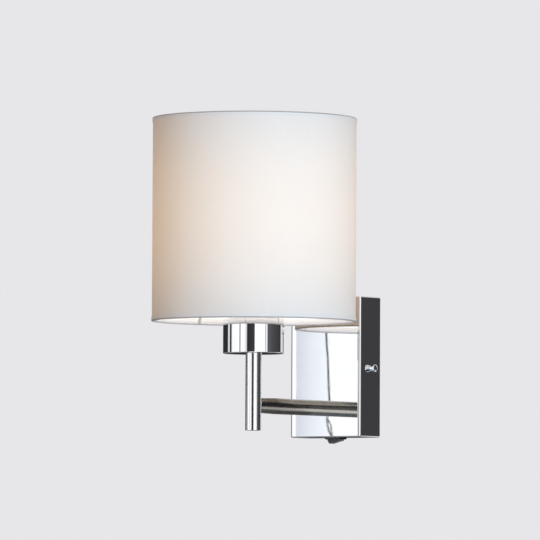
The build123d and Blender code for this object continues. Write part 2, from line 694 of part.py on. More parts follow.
def bulb_envelope():
    """Blown glass candle, one closed skin with a hollow inside."""
    outside = revolve(candle_outline(0.0), Axis.Z)
    inside = revolve(candle_outline(BULB_GLASS), Axis.Z)
    return on_post(outside - inside)


def bulb_inner():
    """Glass stem on the envelope's floor and the light filaments round it."""
    floor = BULB_CAP_TOP - BULB_CAP_PITCH + BULB_GLASS
    stem_top = floor + BULB_STEM_HEIGHT
    stem = turned(
        (0, floor),
        (BULB_STEM_DIAMETER / 2, floor),
        (BULB_STEM_DIAMETER / 2, floor + BULB_STEM_HEIGHT * 0.35),
        (BULB_STEM_DIAMETER / 4, floor + BULB_STEM_HEIGHT * 0.6),
        (BULB_STEM_DIAMETER / 4, stem_top),
        (0, stem_top),
    )
    hub_radius = FILAMENT_TOP_SPREAD + FILAMENT_DIAMETER / 2
    hub = disc(hub_radius, stem_top, stem_top + FILAMENT_DIAMETER / 2)
    bars = []
    for number in range(FILAMENT_COUNT):
        angle = 360 / FILAMENT_COUNT * number
        foot = Vector(FILAMENT_FOOT_SPREAD, 0, stem_top + FILAMENT_DIAMETER / 2)
        bar = Cylinder(FILAMENT_DIAMETER / 2, FILAMENT_LENGTH, align=(Align.CENTER, Align.CENTER, Align.MIN))
        bars.append(Rot(0, 0, angle) * Pos(foot) * bar)
    return {"bulb_stem": on_post(stem + hub), "bulb_filaments": [on_post(bar) for bar in bars]}


# ------------------------------------------------------------------ shade
def spoke():
    """One wire of the spider: leans in from the bottom hoop, then runs level to the fitter."""
    lean = (FITTER_MIDDLE - BOTTOM_WIRE_LEVEL) * tan(radians(SPOKE_LEAN))
    start = (WIRE_RING_RADIUS, 0, BOTTOM_WIRE_LEVEL)
    knee = (WIRE_RING_RADIUS - lean, 0, FITTER_MIDDLE)
    end = (FITTER_DIAMETER / 2 - WIRE_DIAMETER, 0, FITTER_MIDDLE)
    path = FilletPolyline(start, knee, end, radius=SPOKE_BEND)
    section = Plane(origin=path @ 0, z_dir=path % 0) * Circle(WIRE_DIAMETER / 2)
    wire = sweep(section, path=path)
    wire -= disc(FITTER_DIAMETER / 2, BOTTOM_WIRE_LEVEL, HOLDER_TOP)
    return (wire - wire_ring(BOTTOM_WIRE_LEVEL)).solids().sort_by(SortBy.VOLUME)[-1]


def spoke_angles():
    """Angles of the spokes about the post, counted from +X."""
    return [SPOKE_FIRST_ANGLE + 360 / SPOKE_COUNT * number for number in range(SPOKE_COUNT)]


def wire_ring(level):
    """Round wire hoop inside the edge of the shade."""
    return Pos(0, 0, level) * Torus(WIRE_RING_RADIUS, WIRE_DIAMETER / 2)


def shade_spider():
    """Carrier of the shade: fitter ring, spokes welded to its rim, and the bottom hoop they stand on."""
    inner = HOLDER_DIAMETER / 2 + FITTER_PLAY
    wire = spoke()
    return {
        "shade_fitter": on_post(collar(FITTER_DIAMETER / 2, inner, FITTER_BOTTOM, UPPER_RING_BOTTOM)),
        "shade_spokes": [on_post(Rot(0, 0, angle) * wire) for angle in spoke_angles()],
        "shade_bottom_ring": on_post(wire_ring(BOTTOM_WIRE_LEVEL)),
    }


def hem(edge, direction):
    """Tape folded over the shade's edge: an outer leg, a lip and an inner leg round the wire."""
    outside = FABRIC_RADIUS + HEM_PLAY + HEM_THICKNESS
    inside = WIRE_RING_RADIUS - WIRE_DIAMETER / 2 - HEM_PLAY - HEM_THICKNESS
    lip = edge + direction * HEM_THICKNESS
    reach = edge + direction * HEM_HEIGHT
    tape = turned(
        (inside, edge),
        (outside, edge),
        (outside, reach),
        (outside - HEM_THICKNESS, reach),
        (outside - HEM_THICKNESS, lip),
        (inside + HEM_THICKNESS, lip),
        (inside + HEM_THICKNESS, reach),
        (inside, reach),
    )
    return tape


def bottom_hem():
    """Bottom tape, snipped where the spokes leave the wire hoop."""
    tape = hem(SHADE_BOTTOM, 1)
    gap = WIRE_DIAMETER / 2 + HEM_NOTCH_PLAY
    low = (WIRE_RING_RADIUS - 4 * WIRE_DIAMETER, -gap, SHADE_BOTTOM + HEM_THICKNESS)
    high = (WIRE_RING_RADIUS, gap, SHADE_BOTTOM + 2 * HEM_HEIGHT)
    for angle in spoke_angles():
        tape -= Rot(0, 0, angle) * block(low, high)
    return on_post(tape)


def shade_layers():
    """Woven cover, stiff liner, top hoop and the two edge tapes."""
    bottom = SHADE_BOTTOM + HEM_THICKNESS + HEM_PLAY
    top = SHADE_TOP - HEM_THICKNESS - HEM_PLAY
    return {
        "shade_fabric": on_post(collar(FABRIC_RADIUS, FABRIC_RADIUS - FABRIC_THICKNESS, bottom, top)),
        "shade_liner": on_post(collar(LINER_OUTSIDE, LINER_INSIDE, bottom, top)),
        "shade_top_ring": on_post(wire_ring(TOP_WIRE_LEVEL)),
        "shade_top_hem": on_post(hem(SHADE_TOP, -1)),
        "shade_bottom_hem": bottom_hem(),
    }


# ------------------------------------------------------------------ rocker switch
def at_switch(shape):
    """Move a shape made about the rocker's axle to the underside of the plate."""
    return Pos(0, -SWITCH_DEPTH, SWITCH_FACE) * shape


def switch_body():
    """Moulded housing with its bezel, snap lugs and axle holes."""
    half_length = HOUSING_LENGTH / 2
    half_width = HOUSING_WIDTH / 2
    bezel = Pos(0, 0, -BEZEL_THICKNESS) * extrude(
        RectangleRounded(BEZEL_LENGTH, BEZEL_WIDTH, BEZEL_CORNER), BEZEL_THICKNESS
    )
    bezel = chamfer(bezel.faces().sort_by(Axis.Z)[0].edges(), BEZEL_THICKNESS * 0.25)
    body = bezel + block((-half_length, -half_width, 0), (half_length, half_width, HOUSING_HEIGHT))
    lug_level = PLATE_SHEET + SWITCH_CUTOUT_PLAY
    for end in (-1, 1):
        lug_line = [
            (end * (half_length - EPSILON), lug_level),
            (end * (half_length + LUG_REACH), lug_level),
            (end * (half_length - EPSILON), lug_level + LUG_HEIGHT),
        ]
        body += extrude(make_face(Plane.XZ * Polyline(*lug_line, close=True)), LUG_WIDTH / 2, both=True)
    body -= block(
        (-CAVITY_HALF_LENGTH, -CAVITY_HALF_WIDTH, -BEZEL_THICKNESS - THROUGH),
        (CAVITY_HALF_LENGTH, CAVITY_HALF_WIDTH, HOUSING_HEIGHT - HOUSING_ROOF),
    )
    pin_reach = CAVITY_HALF_WIDTH - ROCKER_SIDE_PLAY + ROCKER_PIN_LENGTH + ROCKER_PIN_PLAY
    body -= Rot(90, 0, 0) * Cylinder(ROCKER_PIN_DIAMETER / 2 + ROCKER_PIN_PLAY, 2 * pin_reach)
    for x in (0, END_TERMINAL_X):
        half_tab = SWITCH_TAB_THICKNESS / 2
        body -= block(
            (x - half_tab, -SWITCH_TAB_WIDTH / 2, HOUSING_HEIGHT - HOUSING_ROOF - THROUGH),
            (x + half_tab, SWITCH_TAB_WIDTH / 2, HOUSING_HEIGHT + THROUGH),
        )
    return at_switch(body)


def rocker_outline():
    """Side view of the rocker about its axle: hollow face, round ends and a flat back."""
    radius = CAVITY_HALF_LENGTH - ROCKER_END_PLAY
    corner_x = radius * sin(radians(ROCKER_CORNER_ANGLE))
    corner_z = -radius * cos(radians(ROCKER_CORNER_ANGLE))
    back_x = sqrt(radius**2 - ROCKER_TOP**2)
    face = ThreePointArc((-corner_x, corner_z), (0, corner_z + ROCKER_HOLLOW), (corner_x, corner_z))
    right = ThreePointArc((corner_x, corner_z), (radius, 0), (back_x, ROCKER_TOP))
    back = Line((back_x, ROCKER_TOP), (-back_x, ROCKER_TOP))
    left = ThreePointArc((-back_x, ROCKER_TOP), (-radius, 0), (-corner_x, corner_z))
    return make_face(Plane.XZ * (face + right + back + left))


def tilted(shape):
    """Tip a part of the rocker to its rest position, -X side out."""
    return Rot(0, -ROCKER_TILT, 0) * shape


def switch_rocker():
    """Rocker with two axle pins and a bored boss for the plunger."""
    half_width = CAVITY_HALF_WIDTH - ROCKER_SIDE_PLAY
    rocker = extrude(rocker_outline(), half_width, both=True)
    rocker += Rot(90, 0, 0) * Cylinder(ROCKER_PIN_DIAMETER / 2, 2 * (half_width + ROCKER_PIN_LENGTH))
    rocker += disc(BOSS_DIAMETER / 2, ROCKER_TOP - EPSILON, BOSS_RISE)
    bore_floor = BOSS_RISE - PLUNGER_BORE_DEPTH
    rocker -= disc(PLUNGER_DIAMETER / 2 + PLUNGER_PLAY, bore_floor, BOSS_RISE + THROUGH)
    return at_switch(tilted(rocker))


def switch_plunger():
    """Round-nosed pin that the rocker drags along the contact blade."""
    radius = PLUNGER_DIAMETER / 2
    pin = disc(radius, PLUNGER_TIP_RISE - PLUNGER_LENGTH, PLUNGER_TIP_RISE - radius)
    pin += Pos(0, 0, PLUNGER_TIP_RISE - radius) * Sphere(radius)
    return at_switch(tilted(pin))


def switch_blade():
    """Seesaw contact blade on the knife edge of the middle terminal."""
    blade = block((-BLADE_LENGTH / 2, -BLADE_WIDTH / 2, -BLADE_THICKNESS), (BLADE_LENGTH / 2, BLADE_WIDTH / 2, 0))
    return Pos(0, -SWITCH_DEPTH, BLADE_TOP) * Rot(0, BLADE_TILT, 0) * blade


def switch_terminals():
    """Middle terminal that carries the blade, and the end terminal that it closes onto."""
    half_tab = SWITCH_TAB_THICKNESS / 2
    half_width = SWITCH_TAB_WIDTH / 2
    end_rise = BLADE_LENGTH / 2 * sin(radians(BLADE_TILT))
    slack = CONTACT_GAP + half_tab * sin(radians(BLADE_TILT))
    tabs = []
    for x, foot in ((0, BLADE_TOP + slack), (END_TERMINAL_X, BLADE_TOP + end_rise + slack)):
        low = (x - half_tab, -SWITCH_DEPTH - half_width, foot)
        high = (x + half_tab, -SWITCH_DEPTH + half_width, SWITCH_TAB_TOP)
        tabs.append(block(low, high))
    return tabs


# ------------------------------------------------------------------ terminal block and earth point
def terminal_block():
    """Three-pole connector strip with chimneys for its clamp screws."""
    base_back = -BRACKET_SHEET
    base_front = base_back - BLOCK_BASE_DEPTH
    low = (-BLOCK_LENGTH / 2, base_front, BLOCK_LEVEL - BLOCK_HEIGHT / 2)
    high = (BLOCK_LENGTH / 2, base_back, BLOCK_LEVEL + BLOCK_HEIGHT / 2)
    body = block(low, high)
    insert_hole = Cylinder(INSERT_DIAMETER / 2 + INSERT_PLAY, BLOCK_HEIGHT + THROUGH)
    for x in POLE_X:
        for side in (-1, 1):
            level = BLOCK_LEVEL + side * CHIMNEY_SPREAD / 2
            chimney = disc(CHIMNEY_DIAMETER / 2, -base_front - EPSILON, -base_front + CHIMNEY_HEIGHT)
            body += off_wall(chimney, level, x)
    for x in POLE_X:
        body -= Pos(x, INSERT_Y, BLOCK_LEVEL) * insert_hole
        for side in (-1, 1):
            level = BLOCK_LEVEL + side * CHIMNEY_SPREAD / 2
            well = disc(CLAMP_SCREW_HEAD / 2 + HOLE_CLEARANCE, -INSERT_Y, -base_front + CHIMNEY_HEIGHT + THROUGH)
            body -= off_wall(well, level, x)
    fixing_hole = disc(FIXING_SCREW_DIAMETER / 2 + HOLE_CLEARANCE, 0, -base_front + THROUGH)
    body -= off_wall(fixing_hole, BLOCK_LEVEL, BLOCK_PITCH / 2)
    return body


def slotted_screw(diameter, length, head, head_height):
    """Cheese-head screw on the Z axis: its head sits on height 0 and its shank goes down."""
    screw = turned(
        (0, -length),
        (diameter / 2, -length),
        (diameter / 2, 0),
        (head / 2, 0),
        (head / 2, head_height * 0.8),
        (head / 2 - head_height * 0.2, head_height),
        (0, head_height),
    )
    slot = block((-head, -head * 0.08, head_height * 0.5), (head, head * 0.08, head_height + THROUGH))
    return screw - slot


def terminal_block_metal():
    """Brass inserts with two clamp screws each, and the screw that fixes the strip."""
    inserts = []
    screws = []
    bore_top = -INSERT_Y + INSERT_BORE / 2
    for x in POLE_X:
        tube = Cylinder(INSERT_DIAMETER / 2, INSERT_LENGTH) - Cylinder(INSERT_BORE / 2, INSERT_LENGTH + THROUGH)
        tube = Pos(x, INSERT_Y, BLOCK_LEVEL) * tube
        for side in (-1, 1):
            level = BLOCK_LEVEL + side * CHIMNEY_SPREAD / 2
            threaded = disc(CLAMP_SCREW_DIAMETER / 2 + THREAD_PLAY, -INSERT_Y, -INSERT_Y + INSERT_DIAMETER)
            tube -= off_wall(threaded, level, x)
            head_seat = -INSERT_Y + INSERT_DIAMETER / 2 + INSERT_PLAY
            screw = slotted_screw(
                CLAMP_SCREW_DIAMETER, head_seat - bore_top, CLAMP_SCREW_HEAD, CLAMP_SCREW_HEAD_HEIGHT
            )
            screws.append(off_wall(Pos(0, 0, head_seat) * screw, level, x))
        inserts.append(tube)
    seat = BRACKET_SHEET + BLOCK_BASE_DEPTH
    fixing = slotted_screw(FIXING_SCREW_DIAMETER, seat, FIXING_SCREW_HEAD, FIXING_SCREW_HEAD_HEIGHT)
    fixing = off_wall(Pos(0, 0, seat) * fixing, BLOCK_LEVEL, BLOCK_PITCH / 2)
    return {
        "terminal_block_inserts": inserts,
        "terminal_block_clamp_screws": screws,
        "terminal_block_fixing_screw": fixing,
    }


def earth_point():
    """Ring tag on the bracket's spine, its crimp barrel and the screw through it."""
    seat = BRACKET_SHEET + EARTH_TAG_THICKNESS
    tag = collar(EARTH_TAG_DIAMETER / 2, EARTH_SCREW_DIAMETER / 2 + HOLE_CLEARANCE, BRACKET_SHEET, seat)
    tag = off_wall(tag, -EARTH_LEVEL)
    barrel_y = -BRACKET_SHEET - EARTH_BARREL_DIAMETER / 2
    barrel_z = -EARTH_LEVEL + EARTH_BARREL_OFFSET
    neck_half = EARTH_BARREL_DIAMETER / 2
    tag += block(
        (-neck_half, -seat, -EARTH_LEVEL + EARTH_SCREW_DIAMETER * 0.8), (neck_half, -BRACKET_SHEET, barrel_z + 1)
    )
    barrel = disc(EARTH_BARREL_DIAMETER / 2, 0, EARTH_BARREL_LENGTH)
    barrel -= disc(LEAD_RADIUS + THREAD_PLAY, EARTH_BARREL_LENGTH - LEAD_STRIP, EARTH_BARREL_LENGTH + THROUGH)
    tag += Pos(0, barrel_y, barrel_z) * barrel
    screw = slotted_screw(EARTH_SCREW_DIAMETER, seat, EARTH_SCREW_HEAD, EARTH_SCREW_HEAD_HEIGHT)
    return {"earth_tag": tag, "earth_screw": off_wall(Pos(0, 0, seat) * screw, -EARTH_LEVEL)}


# ------------------------------------------------------------------ leads
def leads():
    """Inner wires: block to switch, switch to lampholder, block to lampholder, block to earth."""
    start_z = INSERT_BOTTOM + LEAD_STRIP
    aside = LEAD_SPREAD / 2
    holder_end = CORE_BOTTOM - TERMINAL_POST_HEIGHT
    holder_x = TERMINAL_POST_SPREAD / 2
    post_y = -ARM_REACH
    behind_switch = -SWITCH_DEPTH
    rise_start = NIPPLE_TOP + HOLDER_PLAY
    to_switch = lead(
        "supply_live_lead",
        [
            (POLE_X[0], INSERT_Y, start_z),
            (POLE_X[0], INSERT_Y, start_z - 13),
            (END_TERMINAL_X, behind_switch, SWITCH_TAB_TOP + 9),
            (END_TERMINAL_X, behind_switch, SWITCH_TAB_TOP),
        ],
        [10, 7],
    )
    to_lamp = lead(
        "switched_live_lead",
        [
            (0, behind_switch, SWITCH_TAB_TOP),
            (0, behind_switch, ARM_LEVEL),
            (-aside, behind_switch - 8, ARM_LEVEL),
            (-aside, post_y, ARM_LEVEL),
            (-aside, post_y, rise_start),
            (-holder_x, post_y, holder_end - 1.8),
            (-holder_x, post_y, holder_end),
        ],
        [2.6, 20, 3.8, 3.0, 2.0],
    )
    neutral = lead(
        "neutral_lead",
        [
            (POLE_X[-1], INSERT_Y, start_z),
            (POLE_X[-1], INSERT_Y, start_z - 13),
            (aside, -9, ARM_LEVEL + 14),
            (aside, -9, ARM_LEVEL),
            (aside, post_y, ARM_LEVEL),
            (aside, post_y, rise_start),
            (holder_x, post_y, holder_end - 1.8),
            (holder_x, post_y, holder_end),
        ],
        [10, 9, 5.0, 3.8, 3.0, 2.0],
    )
    barrel_y = -BRACKET_SHEET - EARTH_BARREL_DIAMETER / 2
    barrel_top = -EARTH_LEVEL + EARTH_BARREL_OFFSET + EARTH_BARREL_LENGTH
    earth = lead(
        "earth_lead",
        [
            (0, INSERT_Y, start_z),
            (0, INSERT_Y, start_z - 6),
            (0, barrel_y, barrel_top + 5),
            (0, barrel_y, barrel_top - LEAD_STRIP),
        ],
        [4, 4],
    )
    return {
        "supply_live_lead": to_switch,
        "switched_live_lead": to_lamp,
        "neutral_lead": neutral,
        "earth_lead": earth,
    }


# ------------------------------------------------------------------ the whole light
def main():
    """Build every piece and write one file per node."""
    os.makedirs("parts", exist_ok=True)
    nodes = {
        "cover_pan": cover_pan(),
        "wall_bracket": wall_bracket(),
        "side_screws": side_screws(),
        "arm_tube": arm_tube(),
        "post_tube": post_tube(),
        "post_end_cap": post_end_cap(),
        "cup": cup(),
        "holder_base": holder_base(),
        "holder_core": holder_core(),
        "holder_skirt": holder_skirt(),
        "shade_ring_lower": shade_ring(LOWER_RING_BOTTOM),
        "shade_ring_upper": shade_ring(UPPER_RING_BOTTOM),
        "bulb_cap": bulb_cap(),
        "bulb_envelope": bulb_envelope(),
        "switch_body": switch_body(),
        "switch_rocker": switch_rocker(),
        "switch_plunger": switch_plunger(),
        "switch_blade": switch_blade(),
        "switch_terminals": switch_terminals(),
        "terminal_block": terminal_block(),
    }
    groups = (arm_fixings, post_fixings, lamp_contacts, bulb_foot, bulb_inner, shade_spider, shade_layers)
    groups += (terminal_block_metal, earth_point, leads)
    for group in groups:
        nodes.update(group())
    for node, shape in nodes.items():
        save(node, *(shape if isinstance(shape, list) else [shape]))
    print(f"{len(nodes)} nodes; post axis {ARM_REACH} mm off the wall; shade {SHADE_BOTTOM:.2f} to {SHADE_TOP:.2f}")
    print(f"cup {CUP_BOTTOM:.2f}, post foot {POST_BOTTOM:.2f}, lamp tip {BULB_TOP:.2f}, blade top {BLADE_TOP:.2f}")


main()
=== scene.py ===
# %% [markdown]
# # A wall light with a fabric drum shade
# The real light hangs on a bracket behind a polished pan. An arm of satin nickel carries an
# upright post with a polished cup, and the shade is clamped on the lampholder above the cup.
# The rigid parts arrive as a finished CAD model, which this lesson loads as a fixed frame and
# then dresses: finishes for the metal, plastic and glass, and new meshes for everything of cloth.

# %% Load the fixed frame
import json
import math

import bmesh
import bpy
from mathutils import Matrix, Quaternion, Vector, noise


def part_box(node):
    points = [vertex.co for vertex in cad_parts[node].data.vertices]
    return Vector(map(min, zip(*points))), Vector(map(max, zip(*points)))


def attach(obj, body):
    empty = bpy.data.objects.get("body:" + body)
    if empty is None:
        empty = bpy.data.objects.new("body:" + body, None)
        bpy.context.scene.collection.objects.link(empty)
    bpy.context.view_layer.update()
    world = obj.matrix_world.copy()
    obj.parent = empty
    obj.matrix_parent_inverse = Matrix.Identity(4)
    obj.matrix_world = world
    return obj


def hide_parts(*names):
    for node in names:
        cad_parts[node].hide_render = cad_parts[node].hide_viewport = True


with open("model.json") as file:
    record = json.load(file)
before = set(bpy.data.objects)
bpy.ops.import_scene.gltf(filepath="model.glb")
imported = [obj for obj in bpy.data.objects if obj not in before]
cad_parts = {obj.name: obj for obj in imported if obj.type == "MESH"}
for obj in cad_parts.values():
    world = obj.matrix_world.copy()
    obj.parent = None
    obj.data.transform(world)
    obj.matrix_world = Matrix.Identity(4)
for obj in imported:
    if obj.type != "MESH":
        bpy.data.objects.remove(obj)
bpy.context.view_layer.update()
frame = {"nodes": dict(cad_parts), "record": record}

MM = 0.001

# %% [markdown]
# ## The camera
# The photograph was taken from the right and from a little below, with a long lens: the sides of
# the shade stay almost parallel. A long lens far away gives the same look, so the camera is put
# on a line through a point inside the light, and turned to look back along that line.

# %% Place the camera
AIM = Vector((-30.03, -60.1, 76.9)) * MM
CAMERA_BEARING = math.radians(37.42)
CAMERA_PITCH = math.radians(2.94)
CAMERA_ROLL = math.radians(0.28)
CAMERA_DISTANCE = 4.905
LENS = 411.0


def bearing_line(bearing, rise=0.0):
    """Unit vector out from the light; bearing 0 points out of the wall and 90 degrees to its right."""
    level = math.cos(rise)
    return Vector((math.sin(bearing) * level, -math.cos(bearing) * level, math.sin(rise)))


camera_data = bpy.data.cameras.new("camera")
camera_data.lens = LENS
camera_data.clip_end = 60.0
camera = bpy.data.objects.new("camera", camera_data)
bpy.context.scene.collection.objects.link(camera)
bpy.context.scene.camera = camera
outward = bearing_line(CAMERA_BEARING, -CAMERA_PITCH)
camera.location = AIM + outward * CAMERA_DISTANCE
camera.rotation_mode = "QUATERNION"
camera.rotation_quaternion = Quaternion(outward, CAMERA_ROLL) @ (-outward).to_track_quat("-Z", "Y")
print("camera at", [round(v, 3) for v in camera.location])

# %% [markdown]
# ## Shader sums in Python
# A material is a graph of nodes. Wiring it by hand hides the idea, so one small class wraps an
# output socket: plus, minus, times and divided by each add a Math node, in either order. Colours
# and directions must not go through Math nodes, which turn them grey, so they use Mix and Vector
# Math. Every other node comes from `add`, which takes the node's type, settings and sockets.


# %% The class that wraps a socket
class Signal:
    """An output socket in a node tree, or the empty tree to start from."""

    def __init__(self, tree, socket=None):
        self.tree = tree
        self.socket = socket

    def add(self, kind, settings=None, sockets=None, output=0):
        """Add a node: its settings come first, then a value or a link for each named socket."""
        node = self.tree.nodes.new(kind)
        for name, value in (settings or {}).items():
            if name == "stops":
                ramp = node.color_ramp.elements
                while len(ramp) < len(value):
                    ramp.new(1.0)
                for stop, (place, colour) in zip(ramp, value):
                    stop.position = place
                    stop.color = (*colour, 1.0)
            else:
                setattr(node, name, value)
        for name, value in (sockets or {}).items():
            if isinstance(value, Signal):
                self.tree.links.new(value.socket, node.inputs[name])
            else:
                node.inputs[name].default_value = value
        return Signal(self.tree, node.outputs[output] if node.outputs else None)

    def other(self, output):
        """Another output of the same node."""
        return Signal(self.tree, self.socket.node.outputs[output])

    def math(self, operation, *values):
        return self.add("ShaderNodeMath", {"operation": operation}, dict(enumerate(values)))

    def __add__(self, value):
        return self.math("ADD", self, value)

    def __sub__(self, value):
        return self.math("SUBTRACT", self, value)

    def __rsub__(self, value):
        return self.math("SUBTRACT", value, self)

    def __mul__(self, value):
        return self.math("MULTIPLY", self, value)

    def __truediv__(self, value):
        return self.math("DIVIDE", self, value)

    def __rtruediv__(self, value):
        return self.math("DIVIDE", value, self)

    __radd__ = __add__
    __rmul__ = __mul__

    def mix(self, low, high):
        """A colour that goes from low to high as this value goes from 0 to 1."""
        ends = [end if isinstance(end, Signal) else (*end, 1.0) for end in (low, high)]
        # The colour inputs of a Mix node are its sockets 6 and 7, and its colour output is number 2.
        return self.add("ShaderNodeMix", {"data_type": "RGBA"}, {0: self, 6: ends[0], 7: ends[1]}, output=2)

    def stretched(self, scale):
        """This vector times a scale for each axis."""
        return self.add("ShaderNodeVectorMath", {"operation": "MULTIPLY"}, {0: self, 1: scale})

    def parts(self):
        """The x, y and z of this vector, as three values."""
        split = self.add("ShaderNodeSeparateXYZ", sockets={0: self})
        return split, split.other(1), split.other(2)

    def joined(self, y, z):
        """A vector of this value and two more."""
        return self.add("ShaderNodeCombineXYZ", sockets={0: self, 1: y, 2: z})

    def grain(self, scale, detail=2.0, roughness=0.5):
        """Soft noise from 0 to 1 over this vector, with scale features in a metre."""
        sockets = {"Vector": self, "Scale": scale, "Detail": detail, "Roughness": roughness}
        return self.add("ShaderNodeTexNoise", sockets=sockets)

    def between(self, low, high):
        """This value spread so that low becomes 0 and high becomes 1, cut off outside."""
        return self.add("ShaderNodeMapRange", sockets={0: self, 1: low, 2: high})

    def relief(self, depth, strength=1.0):
        """A normal for this height, where 1 stands depth metres proud."""
        return self.add("ShaderNodeBump", sockets={"Height": self, "Distance": depth, "Strength": strength})


def surface(name, recipe, **fixed):
    """A material: recipe gives the sockets that vary, and fixed gives those that don't."""
    material = bpy.data.materials.new(name)
    material.use_nodes = True
    tree = material.node_tree
    tree.nodes.clear()
    place = Signal(tree).add("ShaderNodeTexCoord", output="Object")
    varying = recipe(place)
    sockets = {key.replace("_", " "): value for key, value in {**fixed, **varying}.items()}
    shader = place.add("ShaderNodeBsdfPrincipled", sockets=sockets)
    place.add("ShaderNodeOutputMaterial", sockets={"Surface": shader})
    return material


print("shader helpers are ready")

# %% [markdown]
# ## Metal finishes
# The pan, cup and post are mirror plated: real chrome is never even, so its roughness wanders a
# little where hands have polished it, and hair-fine scratches catch the light. The post is drawn
# tube that was buffed less than the cup, so its stripes have softer edges. The arm is satin
# nickel, brushed round the tube while it turns, so its grain is drawn out round the Y axis.
# The hidden hardware is plated in bulk: zinc shows faint blotches, brass shows turning marks.
# A picture of brushed metal could be wrapped round each piece. Noise does the same job without
# any file, has no seams, and keeps its size in millimetres on every part.


# %% Metal finishes
def chrome_recipe(rough):
    """Bright plating: nearly even, with wiped patches and hair-fine scratches."""

    def recipe(place):
        wipe = place.stretched((1.0, 1.0, 3.0)).grain(38.0, 3.0)
        scratch = place.stretched((900.0, 900.0, 40.0)).grain(1.0, 1.0).between(0.66, 0.8)
        return {
            "Base_Color": wipe.mix((0.84, 0.85, 0.865), (0.90, 0.905, 0.915)),
            "Roughness": wipe.between(0.35, 0.75) * 0.008 + scratch * 0.02 + rough,
            "Normal": (wipe * 0.3 + scratch).relief(0.000001, 0.1),
        }

    return recipe


def satin_recipe(place):
    fine = place.stretched((60.0, 6000.0, 60.0)).grain(1.0, 3.0, 0.7)
    broad = place.stretched((12.0, 120.0, 12.0)).grain(1.0, 2.0)
    brushed = (fine * 0.7 + broad * 0.3).between(0.3, 0.7)
    return {
        "Base_Color": brushed.mix((0.255, 0.235, 0.21), (0.31, 0.295, 0.27)),
        "Roughness": fine * 0.08 + broad * 0.04 + 0.15,
        "Normal": fine.relief(0.000004, 0.25),
    }


def plated_recipe(dark, light, size, rough):
    """Barrel plating: cloudy patches of two tones, tiny pits and rubbed high spots."""

    def recipe(place):
        cloud = place.grain(size, 4.0, 0.6)
        crystal = place.add("ShaderNodeTexVoronoi", {"feature": "F1"}, {"Vector": place, "Scale": size * 3.0})
        pits = place.grain(size * 14.0, 2.0)
        tone = (cloud * 0.7 + crystal * 0.5).between(0.25, 0.75)
        return {
            "Base_Color": tone.mix(dark, light),
            "Roughness": tone * 0.14 + pits * 0.08 + rough,
            "Normal": pits.relief(0.00001, 0.35),
        }

    return recipe


def turned_recipe(dark, light, rough):
    """Metal turned on a lathe: close rings along the axis of the piece, and a soft tarnish."""

    def recipe(place):
        rings = place.stretched((300.0, 300.0, 3600.0)).grain(1.0, 2.0)
        tarnish = place.grain(160.0, 4.0)
        return {
            "Base_Color": tarnish.between(0.35, 0.7).mix(light, dark),
            "Roughness": rings * 0.12 + tarnish * 0.1 + rough,
            "Normal": rings.relief(0.00001, 0.4),
        }

    return recipe


zinc_recipe = plated_recipe((0.52, 0.55, 0.58), (0.70, 0.71, 0.70), 260.0, 0.24)
brass_recipe = turned_recipe((0.55, 0.40, 0.18), (0.80, 0.64, 0.34), 0.2)
tin_recipe = plated_recipe((0.60, 0.57, 0.53), (0.78, 0.76, 0.72), 420.0, 0.28)
cap_recipe = turned_recipe((0.55, 0.54, 0.52), (0.80, 0.79, 0.77), 0.18)
finishes = {
    "polished_chrome": surface("polished_chrome", chrome_recipe(0.006), Metallic=1.0),
    "post_chrome": surface("post_chrome", chrome_recipe(0.1), Metallic=1.0),
    "brushed_nickel": surface("brushed_nickel", satin_recipe, Metallic=1.0),
    "zinc_plated_steel": surface("zinc_plated_steel", zinc_recipe, Metallic=1.0),
    "brass": surface("brass", brass_recipe, Metallic=1.0),
    "tinned_copper": surface("tinned_copper", tin_recipe, Metallic=1.0),
    "bulb_cap_metal": surface("bulb_cap_metal", cap_recipe, Metallic=1.0),
}
print("metal finishes:", sorted(finishes))

# %% [markdown]
# ## Plastic, enamel and glass
# Moulded plastic has a very shallow orange-peel skin and a tone that clouds slightly. Insulation
# on the leads is extruded, so its marks run along it, and the earth lead is green with a yellow
# stripe. The wire of the shade carrier is dipped in white enamel, which pools and thins. The
# bulb is clear glass with four glowing filaments. One plain colour would do for each of these,
# but it looks like a toy up close, so one shared recipe adds the skin and the clouding, and each
# plastic gives it only its own tones.


# %% Plastic, enamel and glass
def moulded_recipe(dark, light, rough, peel):
    """Moulded plastic: clouded tone, and a shallow orange-peel skin."""

    def recipe(place):
        cloud = place.grain(90.0, 3.0)
        skin = place.grain(1500.0, 2.0)
        return {
            "Base_Color": cloud.between(0.3, 0.7).mix(dark, light),
            "Roughness": cloud * 0.08 + skin * 0.06 + rough,
            "Normal": skin.relief(peel, 0.3),
        }

    return recipe


def earth_recipe(place):
    """Green insulation with a yellow stripe on the side that faces along +X and -Y."""
    facing = place.other("Normal").parts()
    stripe = (facing[0] - facing[1]).between(0.35, 0.45)
    wear = place.grain(700.0, 2.0)
    return {
        "Base_Color": stripe.mix((0.03, 0.26, 0.07), (0.85, 0.68, 0.05)),
        "Roughness": wear * 0.15 + 0.3,
        "Normal": wear.relief(0.00001, 0.3),
    }


def enamel_recipe(place):
    pool = place.grain(120.0, 3.0)
    return {
        "Base_Color": pool.between(0.35, 0.7).mix((0.84, 0.82, 0.77), (0.92, 0.91, 0.88)),
        "Roughness": pool * 0.16 + 0.16,
        "Normal": pool.relief(0.00006, 0.4),
    }


def glass_recipe(place):
    ripple = place.grain(70.0, 1.0)
    return {"Roughness": ripple * 0.02, "Normal": ripple.relief(0.00004, 0.3)}


